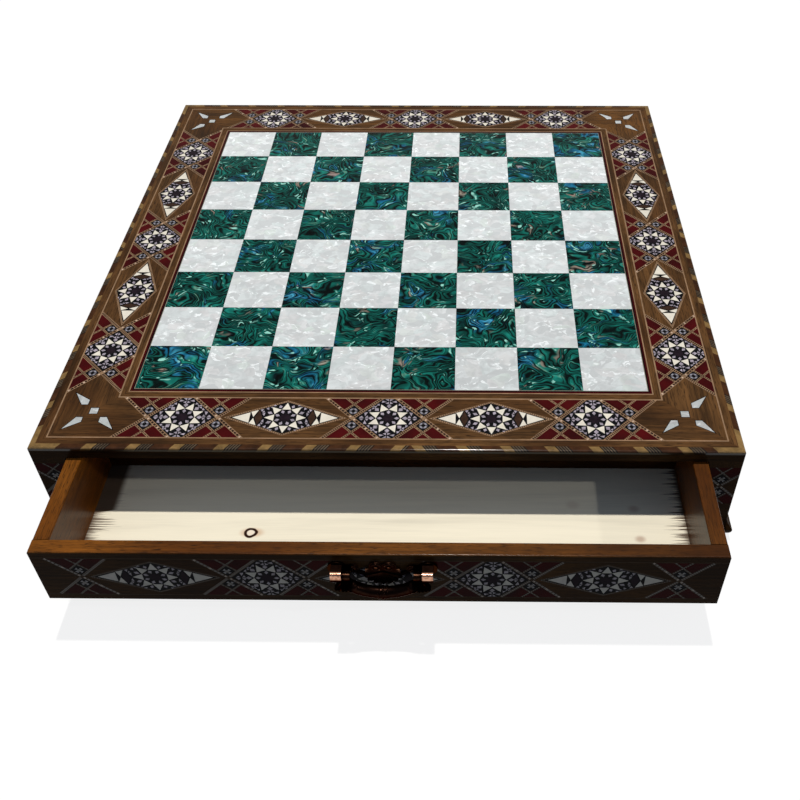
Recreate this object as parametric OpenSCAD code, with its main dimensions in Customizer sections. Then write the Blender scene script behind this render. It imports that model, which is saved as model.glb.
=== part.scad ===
// Chess box: an inlaid playing board on a low carcass, with one shallow drawer at the front and one at
// the back. The front drawer stands open at rest. X runs to the right, Y to the back and Z up.
// The origin is on the floor, under the middle of everything with the front drawer open.

/* [Playing field] */
// Side of one playing square
square_side = 47.5; // [46.5:0.5:50]
// Gap left between two squares by the saw
square_joint = 0.1; // [0.05:0.05:0.3]
// Thickness of every inlaid veneer
veneer = 0.6; // [0.4:0.1:1]
// How far the black grounds lie below the pieces set in them
ground_drop = 0.05; // [0.02:0.01:0.1]
// Glue line left round each small piece of the mosaic
glue = 0.04; // [0.02:0.01:0.08]

/* [Borders of the top] */
// Dark red fillet beside the squares
fillet_w = 2.9; // [2:0.1:4]
// Light string between the fillet and the inner walnut band
inner_string_w = 0.9; // [0.6:0.1:1.5]
// Inner walnut band
inner_band_w = 4.8; // [4:0.1:6]
// Light string on the inner side of the mosaic band
middle_string_w = 1.1; // [0.6:0.1:1.5]
// Light string on the outer side of the mosaic band
outer_string_w = 1; // [0.6:0.1:1.5]
// Outer walnut band
outer_band_w = 5.6; // [4:0.1:7]
// Rope edging at the rim, seen from above
rope_w = 4.4; // [3.5:0.1:5]
// Depth of the rope edging down the rim
rope_h = 3; // [2.5:0.5:5]
// Radius of the rounded rim
rim_r = 1.2; // [0.6:0.1:2.4]

/* [Star and lozenge band] */
// Half the height of the mosaic band
band_half = 19.65; // [19.2:0.05:20]
// Half the width of the square that the ladder strips make round a star, along the band
ladder_reach = 25.65; // [25:0.05:26.5]
// Width of a ladder strip
ladder_w = 2.6; // [2:0.1:3]
// Width of a narrow strip
narrow_w = 1.7; // [1.2:0.1:2]
// Where the narrow strips that rise from the star lie, along the band
narrow_near = 11.4; // [11:0.1:12]
// Where the narrow strips that fall towards the lozenge lie, along the band
narrow_far = 39.4; // [39:0.1:40]
// Radius of the outer tips of the pearl points
point_tip_r = 15; // [14:0.1:15.4]
// Radius of the inner corners of the pearl points
point_base_r = 8.8; // [8:0.1:9.2]
// Radius of the dark heart of a star
heart_r = 4.4; // [3.5:0.1:5]
// Half the length of a lozenge
lozenge_half_l = 44.4; // [43:0.1:45]
// Half the height of a lozenge
lozenge_half_h = 17.4; // [17:0.1:18]
// Width of a lozenge's toothed border
lozenge_border_w = 1.4; // [1:0.1:1.8]

/* [Carcass] */
// Height of the feet
foot_h = 20; // [15:1:30]
// Side of a foot where it meets the base
foot_side = 55; // [45:1:70]
// Thickness of the base board
base_t = 9; // [8:0.5:12]
// Height of the drawer opening
opening_h = 52; // [51.5:0.5:60]
// Thickness of the top with its veneer
top_t = 10; // [9:0.5:14]
// Width of a corner stile
stile_w = 24; // [22:1:32]
// Depth of a corner stile from front to back
stile_d = 14; // [12:1:20]
// Thickness of a side panel with its veneer
panel_t = 12; // [10:0.5:14]
// Height of a drawer guide
guide_h = 22; // [15:1:30]

/* [Drawers] */
// How far the front drawer stands open
open_at_rest = 81; // [0:1:100]
// Depth of a drawer from front to back
drawer_d = 126.5; // [110:0.5:140]
// Height of a drawer
drawer_h = 51; // [50:0.5:51]
// Thickness of a drawer's walls
wall_t = 11; // [9:0.5:12]
// Gap between a drawer and the opening, on each side
drawer_gap = 0.5; // [0.3:0.1:1]
// Thickness of a drawer's floor
floor_t = 3; // [3:0.5:5]

/* [Pull] */
// Distance between the middles of the two posts
post_pitch = 59; // [57:0.5:62]
// How far the pull was set to the right of the drawer's middle
pull_offset = 2.5; // [0:0.5:5]
// Height of the pull's pivot above the drawer's lower edge
pivot_z = 39; // [36:0.5:40]
// How far the pivot stands out from the drawer's front
pivot_out = 7.4; // [7.3:0.1:7.8]
// Drop of the bail from its pivot to the middle of its bar
bail_drop = 17.6; // [17.4:0.1:20]
// How far the bail's bar sags between its legs
bail_sag = 6.4; // [5:0.1:7]
// Radius of the bail's bar
bail_r = 4; // [3:0.1:4.1]

/* [Hidden] */
$fn = 64;

squares = 8;
field_half = squares * square_side / 2;
inner_band_at = field_half + fillet_w + inner_string_w;
middle_string_at = inner_band_at + inner_band_w;
band_at = middle_string_at + middle_string_w;
band_mid = band_at + band_half;
outer_string_at = band_at + 2 * band_half;
outer_band_at = outer_string_at + outer_string_w;
rope_at = outer_band_at + outer_band_w;
box_half = rope_at + rope_w;

base_z = foot_h;
bay_z = base_z + base_t;
top_z = bay_z + opening_h;
height = top_z + top_t;
core_half = box_half - veneer;
wall_mid_z = bay_z + opening_h / 2;
bay_half = box_half - stile_w;
centre_y = open_at_rest / 2;
// Distance of the corner motif's square from both outer edges.
motif_in = 36.5;
motif_square = 5.7;
kite_near = 9.1;
kite_wide = 12.3;
kite_far = 25.7;
kite_half_w = 3.3;

// Along a band, the middles of two neighbouring stars are a little over three squares apart.
star_pitch = 3.118 * square_side;
top_stars = [-star_pitch, 0, star_pitch];
top_lozenges = [-star_pitch / 2, star_pitch / 2];
drawer_stars = [-star_pitch / 2, star_pitch / 2];
drawer_lozenges = [-star_pitch, 0, star_pitch];
drawer_end = 1.5 * star_pitch;

// Strip widths as they count along the sum or the difference of x and y.
ladder = ladder_w / sqrt(2);
narrow = narrow_w / sqrt(2);
far = 4 * band_half;
vertex = ladder_reach + ladder;
medallion = ladder_reach - ladder - glue;
field_half_l = star_pitch / 2 - vertex;
lozenge_scale = 1 - lozenge_border_w * norm([lozenge_half_l, lozenge_half_h])
    / (lozenge_half_l * lozenge_half_h);
diamond_s = (ladder_reach + narrow_far) / 2;
diamond_d = (narrow_near + ladder_reach) / 2;
rosette_outer_r = 3;
rosette_inner_r = 1.5;
point_half_angle = 21.5;
heart_waist = 0.72;
// The pearl tips and dark rhombi at the ends and the flanks of a lozenge's star.
tip_far = 38;
tip_near = 25.6;
tip_half_w = 5.1;
flank_tip = [[25.2, 5.7], [20, 7.5], [22.9, 0.5]];
flank_x = 19.2;
flank_half_l = 2.8;
flank_half_h = 7.3;

drawer_w = 2 * (bay_half - drawer_gap);
drawer_z = bay_z + 0.4;
drawer_core = wall_t - veneer;
string_w = 1;
floor_lift = 1.2;
groove = 4;
edge_r = 0.8;
guide_gap = 0.2;
stop_t = 10;
stop_gap = 1;

foot_cove = 0.65;
foot_screw_r = 1.75;
foot_hole_r = 1.8;
foot_head_r = 3.6;
foot_head_h = 2.4;
foot_sink = 4;
foot_sink_r = 3.8;
foot_screw_reach = 9;
foot_screw_short = 2;

pull_screw_r = 1.55;
post_hole_r = 1.6;
pull_hole_r = 2.1;
pull_head_r = 3.6;
pull_head_h = 1.8;
thread_l = 2.4;

plate_t = 1.6;
relief = 0.9;
boss_r = 6.2;
arm_h = 5;
// The strut from a scroll down to the fan.
strut_w = 2.8;
strut_x = 8;
strut_z = -8;
// The fan of ribs below the middle of the plate.
fan_drop = 3;
fan_r = 11.4;
fan_tip_r = 1.25;
fan_edge_r = 2.2;
fan_angles = [-156:22:-24];
// The plate's rosettes beside its middle and scrolls beside its posts.
flower_x = 4.2;
flower_z = 1.8;
flower_r = 3;
flower_margin = 1.4;
curl_x = 19.6;
curl_z = -0.6;
curl_r = 2.2;
curl_margin = 1.6;
curl_heart = 0.4;

post_w = 7;
post_h = 8.4;
post_out = 10;
nose_r = 1.8;
pin_r = 1.4;
pin_l = 3.4;
pin_play = 0.05;
pin_end_gap = 0.3;
eye_r = 2.8;
eye_w = 2.4;
eye_x = post_pitch / 2 - post_w / 2 - pin_end_gap;
// The bar is an arc that ends inside the leaves.
bar_end_x = 19.5;
bar_end_swell = 0.3;
bar_curve = (bar_end_x * bar_end_x + bail_sag * bail_sag) / (2 * bail_sag);
bar_end_angle = asin(bar_end_x / bar_curve);
// A leg is a leaf whose ribs spread from the eye towards their rounded ends.
leaf_x = 23.7;
leaf_r = 14;
leaf_t = 2.8;
leaf_angles = [-117:9:-63];
rib_t = 4.4;
rib_from = 0.4;
rib_tip_r = 0.9;
web_r = 1.3;
// The leaf stays this far from the pivot where it passes the post.
leaf_clear_r = 5.3;
// Beads round the middle of the bar, as pairs of place and radius.
beads = [[-2.6, 0.6], [0, 0.9], [2.6, 0.6]];

walnut = [0.40, 0.25, 0.13];
light_wood = [0.83, 0.70, 0.50];
dark_red = [0.35, 0.05, 0.07];
ebony = [0.04, 0.04, 0.05];
pearl = [0.93, 0.94, 0.92];
stained = [0.55, 0.30, 0.12];
copper = [0.55, 0.33, 0.22];

function polar(r, a) = [r * cos(a), r * sin(a)];
// The point where x + y = s and x - y = d.
function diag(s, d) = [(s + d) / 2, (s - d) / 2];

// Placing

module at_sides() {
    for (k = [0:3])
        rotate([0, 0, 90 * k])
            children();
}

// Each corner of the box, with the box lying towards negative x and y.
module at_corners() {
    for (k = [0:3])
        rotate([0, 0, 90 * k])
            translate([box_half, box_half, 0])
                children();
}

module both_ways() {
    children();
    mirror([1, 0, 0])
        children();
}

module in_quarters() {
    both_ways() {
        children();
        mirror([0, 1, 0])
            children();
    }
}

module along(places) {
    for (x = places)
        translate([x, 0, 0])
            children();
}

module on_top(drop = 0) {
    at_sides()
        translate([0, -band_mid, height - veneer])
            linear_extrude(veneer - drop)
                children();
}

// The drawing's x runs along the wall, to the right of someone who faces it.
module on_wall(out, z, drop = 0) {
    translate([0, veneer - out, z])
        rotate([90, 0, 0])
            linear_extrude(veneer - drop)
                children();
}

module on_side_walls(drop = 0) {
    for (a = [90, -90])
        rotate([0, 0, a])
            on_wall(box_half, wall_mid_z, drop)
                children();
}

module in_box() {
    translate([0, centre_y, 0])
        children();
}

// A drawer is drawn closed at the front, then opened or turned to the back.
module in_front() {
    translate([0, centre_y - open_at_rest, 0])
        children();
}

module in_rear() {
    translate([0, centre_y, 0])
        rotate([0, 0, 180])
            children();
}

// Flat pieces of the star and lozenge band

// A piece of the diagonal grid, cut off at the band's edges.
module grid_piece(s0, s1, d0, d1) {
    intersection() {
        polygon([
            diag(s0 + glue, d0 + glue), diag(s1 - glue, d0 + glue),
            diag(s1 - glue, d1 - glue), diag(s0 + glue, d1 - glue)
        ]);
        square([2 * far, 2 * (band_half - glue)], center = true);
    }
}

module ladder_right() {
    grid_piece(ladder_reach - ladder, vertex, -far, far);
    grid_piece(vertex, far, ladder_reach - ladder, vertex);
    grid_piece(-far, ladder_reach - ladder, ladder_reach - ladder, vertex);
}

module narrow_quarter() {
    grid_piece(vertex, far, narrow_near - narrow, narrow_near + narrow);
    grid_piece(narrow_far - narrow, narrow_far + narrow, narrow_near + narrow, ladder_reach - ladder);
    grid_piece(narrow_far - narrow, narrow_far + narrow, -far, narrow_near - narrow);
}

module panes_quarter() {
    grid_piece(vertex, narrow_far - narrow, -far, narrow_near - narrow);
    grid_piece(narrow_far + narrow, far, narrow_near + narrow, ladder_reach - ladder);
    grid_piece(narrow_far + narrow, far, -far, narrow_near - narrow);
}

module diamond_quarter() {
    grid_piece(vertex, narrow_far - narrow, narrow_near + narrow, ladder_reach - ladder);
}

module rosette_place() {
    translate(diag(diamond_s, diamond_d))
        children();
}

module upper_and_lower() {
    children();
    mirror([0, 1, 0])
        children();
}

module eight_points(turn) {
    for (a = [turn:45:turn + 315])
        polygon([
            polar(point_tip_r, a), polar(point_base_r, a + point_half_angle),
            polar(point_base_r, a - point_half_angle)
        ]);
}

module heart(turn) {
    polygon([for (k = [0:15]) polar(k % 2 == 0 ? heart_r : heart_waist * heart_r, turn + 22.5 * k)]);
}

module rhombus(half_l, half_h) {
    polygon([[half_l, 0], [0, half_h], [-half_l, 0], [0, -half_h]]);
}

module star_ground() {
    difference() {
        intersection() {
            rhombus(medallion, medallion);
            square([2 * far, 2 * (band_half - glue)], center = true);
        }
        eight_points(22.5);
        heart(22.5);
    }
}

module lozenge_inside() {
    rhombus(lozenge_half_l * lozenge_scale, lozenge_half_h * lozenge_scale);
}

module lozenge_border() {
    difference() {
        rhombus(lozenge_half_l, lozenge_half_h);
        lozenge_inside();
    }
}

// The long tip and the two small triangles at each end of a lozenge.
module lozenge_tips() {
    both_ways()
        polygon([[tip_far, 0], [tip_near, tip_half_w], [tip_near, -tip_half_w]]);
    in_quarters()
        polygon(flank_tip);
}

module lozenge_rhombi() {
    both_ways()
        translate([flank_x, 0])
            rhombus(flank_half_l, flank_half_h);
}

module lozenge_ground() {
    difference() {
        lozenge_inside();
        eight_points(0);
        heart(0);
        lozenge_tips();
        lozenge_rhombi();
    }
}

// Walnut between two stars, round a lozenge.
module lozenge_field() {
    difference() {
        polygon([
            [field_half_l, 0], [field_half_l - band_half, band_half],
            [band_half - field_half_l, band_half], [-field_half_l, 0],
            [band_half - field_half_l, -band_half], [field_half_l - band_half, -band_half]
        ]);
        rhombus(lozenge_half_l, lozenge_half_h);
    }
}

// Walnut from the last star of a band to its end, which leans by slope.
module end_field(end, slope = 0) {
    start = star_pitch + vertex;
    polygon([
        [start, 0], [start + band_half, band_half], [end - slope, band_half],
        [end + slope, -band_half], [start + band_half, -band_half]
    ]);
}

module kite() {
    polygon([[kite_near, 0], [kite_wide, kite_half_w], [kite_far, 0], [kite_wide, -kite_half_w]]);
}

// The pearl motif of a corner, drawn from the box's corner.
module corner_motif() {
    translate([-motif_in, -motif_in]) {
        square(motif_square, center = true);
        for (a = [-45, 45, 135])
            rotate(a)
                kite();
    }
}

// Boards

module slab(w, d, h) {
    translate([-w / 2, -d / 2, 0])
        cube([w, d, h]);
}

// What lies between the two mitres of one side, from inner to outer.
module mitred(inner, outer) {
    polygon([
        [glue - inner, -inner], [glue - outer, -outer], [outer - glue, -outer], [inner - glue, -inner]
    ]);
}

// Four thin strips mitred round the field.
module mitred_strips(inner, width) {
    at_sides()
        translate([0, 0, height - veneer])
            linear_extrude(veneer)
                mitred(inner, inner + width);
}

module top_board() {
    color(walnut) {
        translate([0, 0, top_z])
            slab(2 * box_half, 2 * box_half, top_t - rope_h);
        translate([0, 0, height - rope_h])
            slab(2 * rope_at, 2 * rope_at, rope_h - veneer);
    }
}

module side_panel(side) {
    color(walnut)
        translate([side > 0 ? box_half - panel_t : -core_half, stile_d - box_half, bay_z])
            cube([panel_t - veneer, 2 * (box_half - stile_d), opening_h]);
}

module corner_stiles() {
    color(walnut)
        in_quarters()
            translate([bay_half, core_half - stile_d + veneer, bay_z])
                cube([stile_w - veneer, stile_d - veneer, opening_h]);
}

module drawer_guides() {
    color(light_wood)
        both_ways()
            translate([bay_half + guide_gap, stile_d - box_half, bay_z])
                cube([stile_w - panel_t - guide_gap, 2 * (box_half - stile_d), guide_h]);
}

module foot_screw_places() {
    at_corners()
        for (x = [-foot_screw_reach, foot_screw_reach])
            translate([x - foot_side / 2, -x - foot_side / 2, 0])
                children();
}

module base_board() {
    color(walnut)
        difference() {
            translate([0, 0, base_z])
                slab(2 * box_half, 2 * box_half, base_t);
            foot_screw_places()
                translate([0, 0, base_z - 1])
                    cylinder(r = foot_hole_r, h = base_t - 1);
        }
}

module drawer_stops() {
    color(light_wood)
        for (side = [-1, 1])
            translate([0, side * (box_half - drawer_d - stop_gap - stop_t / 2), bay_z])
                slab(2 * bay_half, stop_t, opening_h);
}

// Outline of a foot from the side: a cove above a sharp arris, then a quarter round down to the floor.
module foot_outline() {
    half = foot_side / 2;
    cove_r = foot_cove * foot_h;
    round_r = foot_h / 2;
    belly = cove_r - sqrt(cove_r * cove_r - round_r * round_r);
    difference() {
        translate([-half - belly, round_r])
            square([2 * (half + belly), foot_h - round_r]);
        for (side = [-1, 1])
            translate([side * (half + cove_r), foot_h])
                circle(cove_r);
    }
    translate([round_r - half - belly, 0])
        square([2 * (half + belly - round_r), round_r]);
    intersection() {
        for (side = [-1, 1])
            translate([side * (half + belly - round_r), round_r])
                circle(round_r);
        translate([-half - belly, 0])
            square([2 * (half + belly), round_r]);
    }
}

module foot_block() {
    reach = foot_side + 2 * foot_h;
    intersection() {
        translate([0, reach / 2, 0])
            rotate([90, 0, 0])
                linear_extrude(reach)
                    foot_outline();
        translate([-reach / 2, 0, 0])
            rotate([90, 0, 90])
                linear_extrude(reach)
                    foot_outline();
    }
}

module feet() {
    color(walnut)
        difference() {
            at_corners()
                translate([-foot_side / 2, -foot_side / 2, 0])
                    foot_block();
            foot_screw_places() {
                translate([0, 0, -1])
                    cylinder(r = foot_hole_r, h = foot_h + 2);
                translate([0, 0, -1])
                    cylinder(r = foot_sink_r, h = foot_sink + 1);
            }
        }
}

module foot_screws() {
    color("silver")
        foot_screw_places() {
            translate([0, 0, foot_sink - foot_head_h])
                cylinder(r1 = foot_head_r, r2 = foot_screw_r, h = foot_head_h);
            translate([0, 0, foot_sink - 0.5])
                cylinder(r = foot_screw_r, h = foot_h + base_t - foot_sink - foot_screw_short);
        }
}

// Marquetry of the top

module field_squares(odd) {
    side = square_side - square_joint;
    for (i = [0:squares - 1])
        for (j = [0:squares - 1])
            if ((i + j) % 2 == odd)
                translate([
                    (i + 0.5) * square_side - field_half - side / 2,
                    (j + 0.5) * square_side - field_half - side / 2,
                    height - veneer
                ])
                    cube([side, side, veneer]);
}

module light_squares() {
    color(pearl)
        field_squares(1);
}

module dark_squares() {
    color([0.05, 0.35, 0.33])
        field_squares(0);
}

module red_fillet() {
    color(dark_red)
        mitred_strips(field_half, fillet_w);
}

module light_strings() {
    color(light_wood) {
        mitred_strips(field_half + fillet_w, inner_string_w);
        mitred_strips(middle_string_at, middle_string_w);
        mitred_strips(outer_string_at, outer_string_w);
    }
}

module walnut_bands() {
    color(walnut) {
        mitred_strips(inner_band_at, inner_band_w);
        mitred_strips(outer_band_at, outer_band_w);
    }
}

module corner_veneers() {
    color(walnut)
        difference() {
            on_top()
                both_ways()
                    end_field(band_mid - glue, band_half);
            at_corners()
                translate([0, 0, top_z])
                    linear_extrude(2 * top_t)
                        corner_motif();
        }
}

module corner_pearls() {
    color(pearl)
        at_corners()
            translate([0, 0, height - veneer])
                linear_extrude(veneer)
                    corner_motif();
}

module ladder_strips() {
    color(light_wood)
        on_top()
            along(top_stars)
                both_ways()
                    ladder_right();
}

module narrow_strips() {
    color(light_wood)
        on_top()
            along(top_stars)
                in_quarters()
                    narrow_quarter();
}

module red_panes() {
    color(dark_red)
        on_top()
            along(top_stars)
                in_quarters()
                    panes_quarter();
}

module black_diamonds() {
    color(ebony)
        on_top(ground_drop)
            along(top_stars)
                in_quarters()
                    difference() {
                        diamond_quarter();
                        rosette_place()
                            circle(rosette_outer_r);
                    }
}

module rosettes() {
    color([0.6, 0.62, 0.66])
        on_top()
            along(top_stars)
                in_quarters()
                    rosette_place()
                        difference() {
                            circle(rosette_outer_r);
                            circle(rosette_inner_r);
                        }
}

module star_grounds() {
    color(ebony)
        on_top(ground_drop) {
            along(top_stars)
                star_ground();
            along(top_lozenges)
                lozenge_ground();
        }
}

module pearl_points() {
    color(pearl)
        on_top() {
            along(top_stars)
                eight_points(22.5);
            along(top_lozenges) {
                eight_points(0);
                lozenge_tips();
            }
        }
}

module star_hearts() {
    color([0.15, 0.05, 0.09])
        on_top() {
            along(top_stars)
                heart(22.5);
            along(top_lozenges) {
                heart(0);
                lozenge_rhombi();
            }
        }
}

module lozenge_borders() {
    color(light_wood)
        on_top()
            along(top_lozenges)
                lozenge_border();
}

module band_fields() {
    color(walnut)
        on_top()
            along(top_lozenges)
                lozenge_field();
}

module rope_outline() {
    difference() {
        square([rope_w, rope_h]);
        translate([rope_w - rim_r, rope_h - rim_r])
            difference() {
                square(rim_r + 1);
                circle(rim_r);
            }
    }
}

module rope_edging() {
    color([0.75, 0.6, 0.35])
        at_sides()
            intersection() {
                translate([-box_half, 0, height - rope_h])
                    rotate([90, 0, 90])
                        linear_extrude(2 * box_half)
                            translate([-rope_at, 0])
                                mirror([1, 0])
                                    rope_outline();
                translate([0, 0, top_z])
                    linear_extrude(2 * top_t)
                        mitred(field_half, 2 * box_half);
            }
}

// Marquetry of the walls

module wall_strings(half_l) {
    for (side = [-1, 1])
        translate([-half_l, side * (band_half + string_w / 2) - string_w / 2])
            square([2 * half_l, string_w]);
}

module wall_margins(half_l, wall_h) {
    inner = band_half + string_w;
    for (side = [0, 1])
        mirror([0, side])
            translate([-half_l, inner])
                square([2 * half_l, wall_h / 2 - inner]);
}

// What a corner stile shows: one crossing of the lattice between the opening and the corner.
module stile_window() {
    middle = bay_half + stile_w / 2;
    both_ways()
        intersection() {
            translate([middle - ladder_reach, 0])
                children();
            translate([bay_half, -band_half])
                square([stile_w - veneer, 2 * band_half]);
        }
}

module on_stiles(drop = 0) {
    for (a = [0, 180])
        rotate([0, 0, a])
            on_wall(box_half, wall_mid_z, drop)
                children();
}

module wall_walnut() {
    color(walnut) {
        on_side_walls() {
            along(top_lozenges)
                lozenge_field();
            both_ways()
                end_field(box_half);
            wall_margins(box_half, opening_h);
        }
        on_stiles() {
            stile_window()
                for (a = [0, 180])
                    translate([ladder_reach, 0])
                        rotate(a)
                            polygon([[ladder, 0], [ladder + far, far], [ladder + far, -far]]);
            for (side = [0, 1])
                mirror([0, side])
                    both_ways()
                        translate([bay_half, band_half])
                            square([stile_w - veneer, opening_h / 2 - band_half]);
        }
    }
}

module wall_lattice() {
    color(light_wood) {
        on_side_walls() {
            along(top_stars) {
                both_ways()
                    ladder_right();
                in_quarters()
                    narrow_quarter();
            }
            along(top_lozenges)
                lozenge_border();
            wall_strings(box_half);
        }
        on_stiles()
            stile_window() {
                ladder_right();
                upper_and_lower()
                    narrow_quarter();
            }
    }
}

module wall_panes() {
    color(dark_red) {
        on_side_walls() {
            along(top_stars) {
                in_quarters()
                    panes_quarter();
                heart(22.5);
            }
            along(top_lozenges) {
                heart(0);
                lozenge_rhombi();
            }
        }
        on_stiles()
            stile_window()
                upper_and_lower()
                    panes_quarter();
    }
}

module wall_grounds() {
    color(ebony) {
        on_side_walls(ground_drop) {
            along(top_stars) {
                star_ground();
                in_quarters()
                    diamond_quarter();
            }
            along(top_lozenges)
                lozenge_ground();
        }
        on_stiles(ground_drop)
            stile_window()
                upper_and_lower()
                    diamond_quarter();
    }
}

module wall_points() {
    color(pearl)
        on_side_walls() {
            along(top_stars)
                eight_points(22.5);
            along(top_lozenges) {
                eight_points(0);
                lozenge_tips();
            }
        }
}

// Drawers, each drawn closed at the front

module on_drawer_front(drop = 0) {
    difference() {
        on_wall(box_half, drawer_z + drawer_h / 2, drop)
            children();
        pull_holes();
    }
}

module drawer_wall_outline(t) {
    square([t, drawer_h - edge_r]);
    translate([edge_r, 0])
        square([t - 2 * edge_r, drawer_h]);
    for (x = [edge_r, t - edge_r])
        translate([x, drawer_h - edge_r])
            circle(edge_r);
}

// The floor's board, which is also the groove that the walls hold it in.
module drawer_floor_space() {
    inside = drawer_d - 2 * wall_t;
    translate([0, wall_t + inside / 2 - box_half, drawer_z + floor_lift])
        slab(drawer_w - 2 * (wall_t - groove), inside + 2 * groove, floor_t);
}

module post_places() {
    for (side = [-1, 1])
        translate([pull_offset + side * post_pitch / 2, -box_half, drawer_z + pivot_z])
            children();
}

module pull_holes() {
    post_places()
        translate([0, -1, 0])
            rotate([-90, 0, 0])
                cylinder(r = pull_hole_r, h = wall_t + 2);
}

module drawer_front() {
    color(stained)
        difference() {
            translate([-drawer_w / 2, veneer - box_half, drawer_z])
                rotate([90, 0, 90])
                    linear_extrude(drawer_w)
                        drawer_wall_outline(drawer_core);
            drawer_floor_space();
            pull_holes();
        }
}

module drawer_back() {
    color(stained)
        difference() {
            translate([wall_t - drawer_w / 2, drawer_d - wall_t - box_half, drawer_z])
                rotate([90, 0, 90])
                    linear_extrude(drawer_w - 2 * wall_t)
                        drawer_wall_outline(wall_t);
            drawer_floor_space();
        }
}

module drawer_side(side) {
    color(stained)
        difference() {
            translate([side > 0 ? drawer_w / 2 - wall_t : -drawer_w / 2, drawer_d - box_half, drawer_z])
                rotate([90, 0, 0])
                    linear_extrude(drawer_d - wall_t)
                        drawer_wall_outline(wall_t);
            drawer_floor_space();
        }
}

module drawer_floor() {
    color([0.9, 0.82, 0.64])
        drawer_floor_space();
}

// Walnut at the end of the drawer front, where a star would stand.
module drawer_end_field() {
    inner = ladder_reach - ladder;
    polygon([
        [drawer_w / 2, band_half], [drawer_end - inner + band_half, band_half],
        [drawer_end - inner, 0], [drawer_end - inner + band_half, -band_half],
        [drawer_w / 2, -band_half]
    ]);
}

// The half of a lattice that faces the middle, at both ends of the drawer front.
module drawer_ends() {
    both_ways()
        translate([-drawer_end, 0])
            children();
}

module drawer_walnut() {
    color(walnut)
        on_drawer_front() {
            along(drawer_lozenges)
                lozenge_field();
            both_ways()
                drawer_end_field();
            wall_margins(drawer_w / 2, drawer_h);
        }
}

module drawer_lattice() {
    color(light_wood)
        on_drawer_front() {
            along(drawer_stars) {
                both_ways()
                    ladder_right();
                in_quarters()
                    narrow_quarter();
            }
            drawer_ends() {
                ladder_right();
                upper_and_lower()
                    narrow_quarter();
            }
            along(drawer_lozenges)
                lozenge_border();
            wall_strings(drawer_w / 2);
        }
}

module drawer_panes() {
    color(dark_red)
        on_drawer_front() {
            along(drawer_stars) {
                in_quarters()
                    panes_quarter();
                heart(22.5);
            }
            drawer_ends()
                upper_and_lower()
                    panes_quarter();
            along(drawer_lozenges) {
                heart(0);
                lozenge_rhombi();
            }
        }
}

module drawer_grounds() {
    color(ebony)
        on_drawer_front(ground_drop) {
            along(drawer_stars) {
                star_ground();
                in_quarters()
                    diamond_quarter();
            }
            drawer_ends()
                upper_and_lower()
                    diamond_quarter();
            along(drawer_lozenges)
                lozenge_ground();
        }
}

module drawer_points() {
    color(pearl)
        on_drawer_front() {
            along(drawer_stars)
                eight_points(22.5);
            along(drawer_lozenges) {
                eight_points(0);
                lozenge_tips();
            }
        }
}

// Pull, drawn with its pivot line along x at the origin and the drawer front at y = pivot_out

module as_pull() {
    translate([pull_offset, -box_half - pivot_out, drawer_z + pivot_z])
        children();
}

// From a flat outline to a plate or relief that stands out by t.
module out_of_front(t) {
    rotate([90, 0, 0])
        linear_extrude(t)
            children();
}

module plate_outline() {
    both_ways() {
        translate([post_pitch / 2, 0])
            circle(boss_r);
        translate([curl_x, curl_z])
            circle(curl_r + curl_margin);
        translate([flower_x, flower_z])
            circle(flower_r + flower_margin);
        translate([curl_x, -arm_h / 2])
            square([post_pitch / 2 - curl_x, arm_h]);
        polygon([
            [curl_x, curl_z], [curl_x, curl_z - strut_w], [strut_x, strut_z - strut_w / 2],
            [strut_x, strut_z + strut_w / 2]
        ]);
    }
    translate([0, -fan_drop]) {
        intersection() {
            circle(fan_r);
            translate([-fan_r, -fan_r])
                square([2 * fan_r, fan_r + fan_drop]);
        }
        for (a = fan_angles)
            translate(polar(fan_r, a))
                circle(fan_edge_r);
    }
}

// A wedge with a round end, from the origin along x.
module petal(length, from, r) {
    polygon([[0, -from], [length, -r], [length, r], [0, from]]);
    translate([length, 0])
        circle(r);
}

// A raised ring round a small boss.
module curl(r) {
    rotate([90, 0, 0]) {
        rotate_extrude()
            translate([r, 0])
                circle(relief);
        cylinder(r = curl_heart * r, h = relief);
    }
}

module backplate() {
    color(copper)
        as_pull()
            translate([0, pivot_out, 0]) {
                difference() {
                    out_of_front(plate_t)
                        plate_outline();
                    both_ways()
                        translate([post_pitch / 2, 1, 0])
                            rotate([90, 0, 0])
                                cylinder(r = pull_hole_r, h = plate_t + 2);
                }
                translate([0, -plate_t, 0]) {
                    translate([0, 0, -fan_drop])
                        for (a = fan_angles)
                            out_of_front(relief)
                                rotate(a)
                                    petal(fan_r, rib_from, fan_tip_r);
                    both_ways() {
                        translate([flower_x, 0, flower_z])
                            curl(flower_r);
                        translate([curl_x, 0, curl_z])
                            curl(curl_r);
                    }
                }
            }
}

// A knuckle with a rounded nose, bored from behind for its screw.
module post() {
    length = post_out - plate_t;
    difference() {
        translate([-post_w / 2, -plate_t, -post_h / 2])
            rotate([90, 0, 90])
                linear_extrude(post_w)
                    mirror([1, 0]) {
                        square([length - nose_r, post_h]);
                        translate([0, nose_r])
                            square([length, post_h - 2 * nose_r]);
                        for (z = [nose_r, post_h - nose_r])
                            translate([length - nose_r, z])
                                circle(nose_r);
                    }
        translate([0, -plate_t - thread_l - 0.2, 0])
            rotate([-90, 0, 0])
                cylinder(r = post_hole_r, h = 2 * thread_l);
    }
}

// Two posts, each bored from its inner side for the bail's pin.
module posts() {
    color(copper)
        as_pull()
            both_ways()
                difference() {
                    translate([post_pitch / 2, pivot_out, 0])
                        post();
                    translate([eye_x, 0, 0])
                        rotate([0, 90, 0])
                            cylinder(r = pin_r + pin_play, h = pin_l + pin_end_gap);
                }
}

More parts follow.
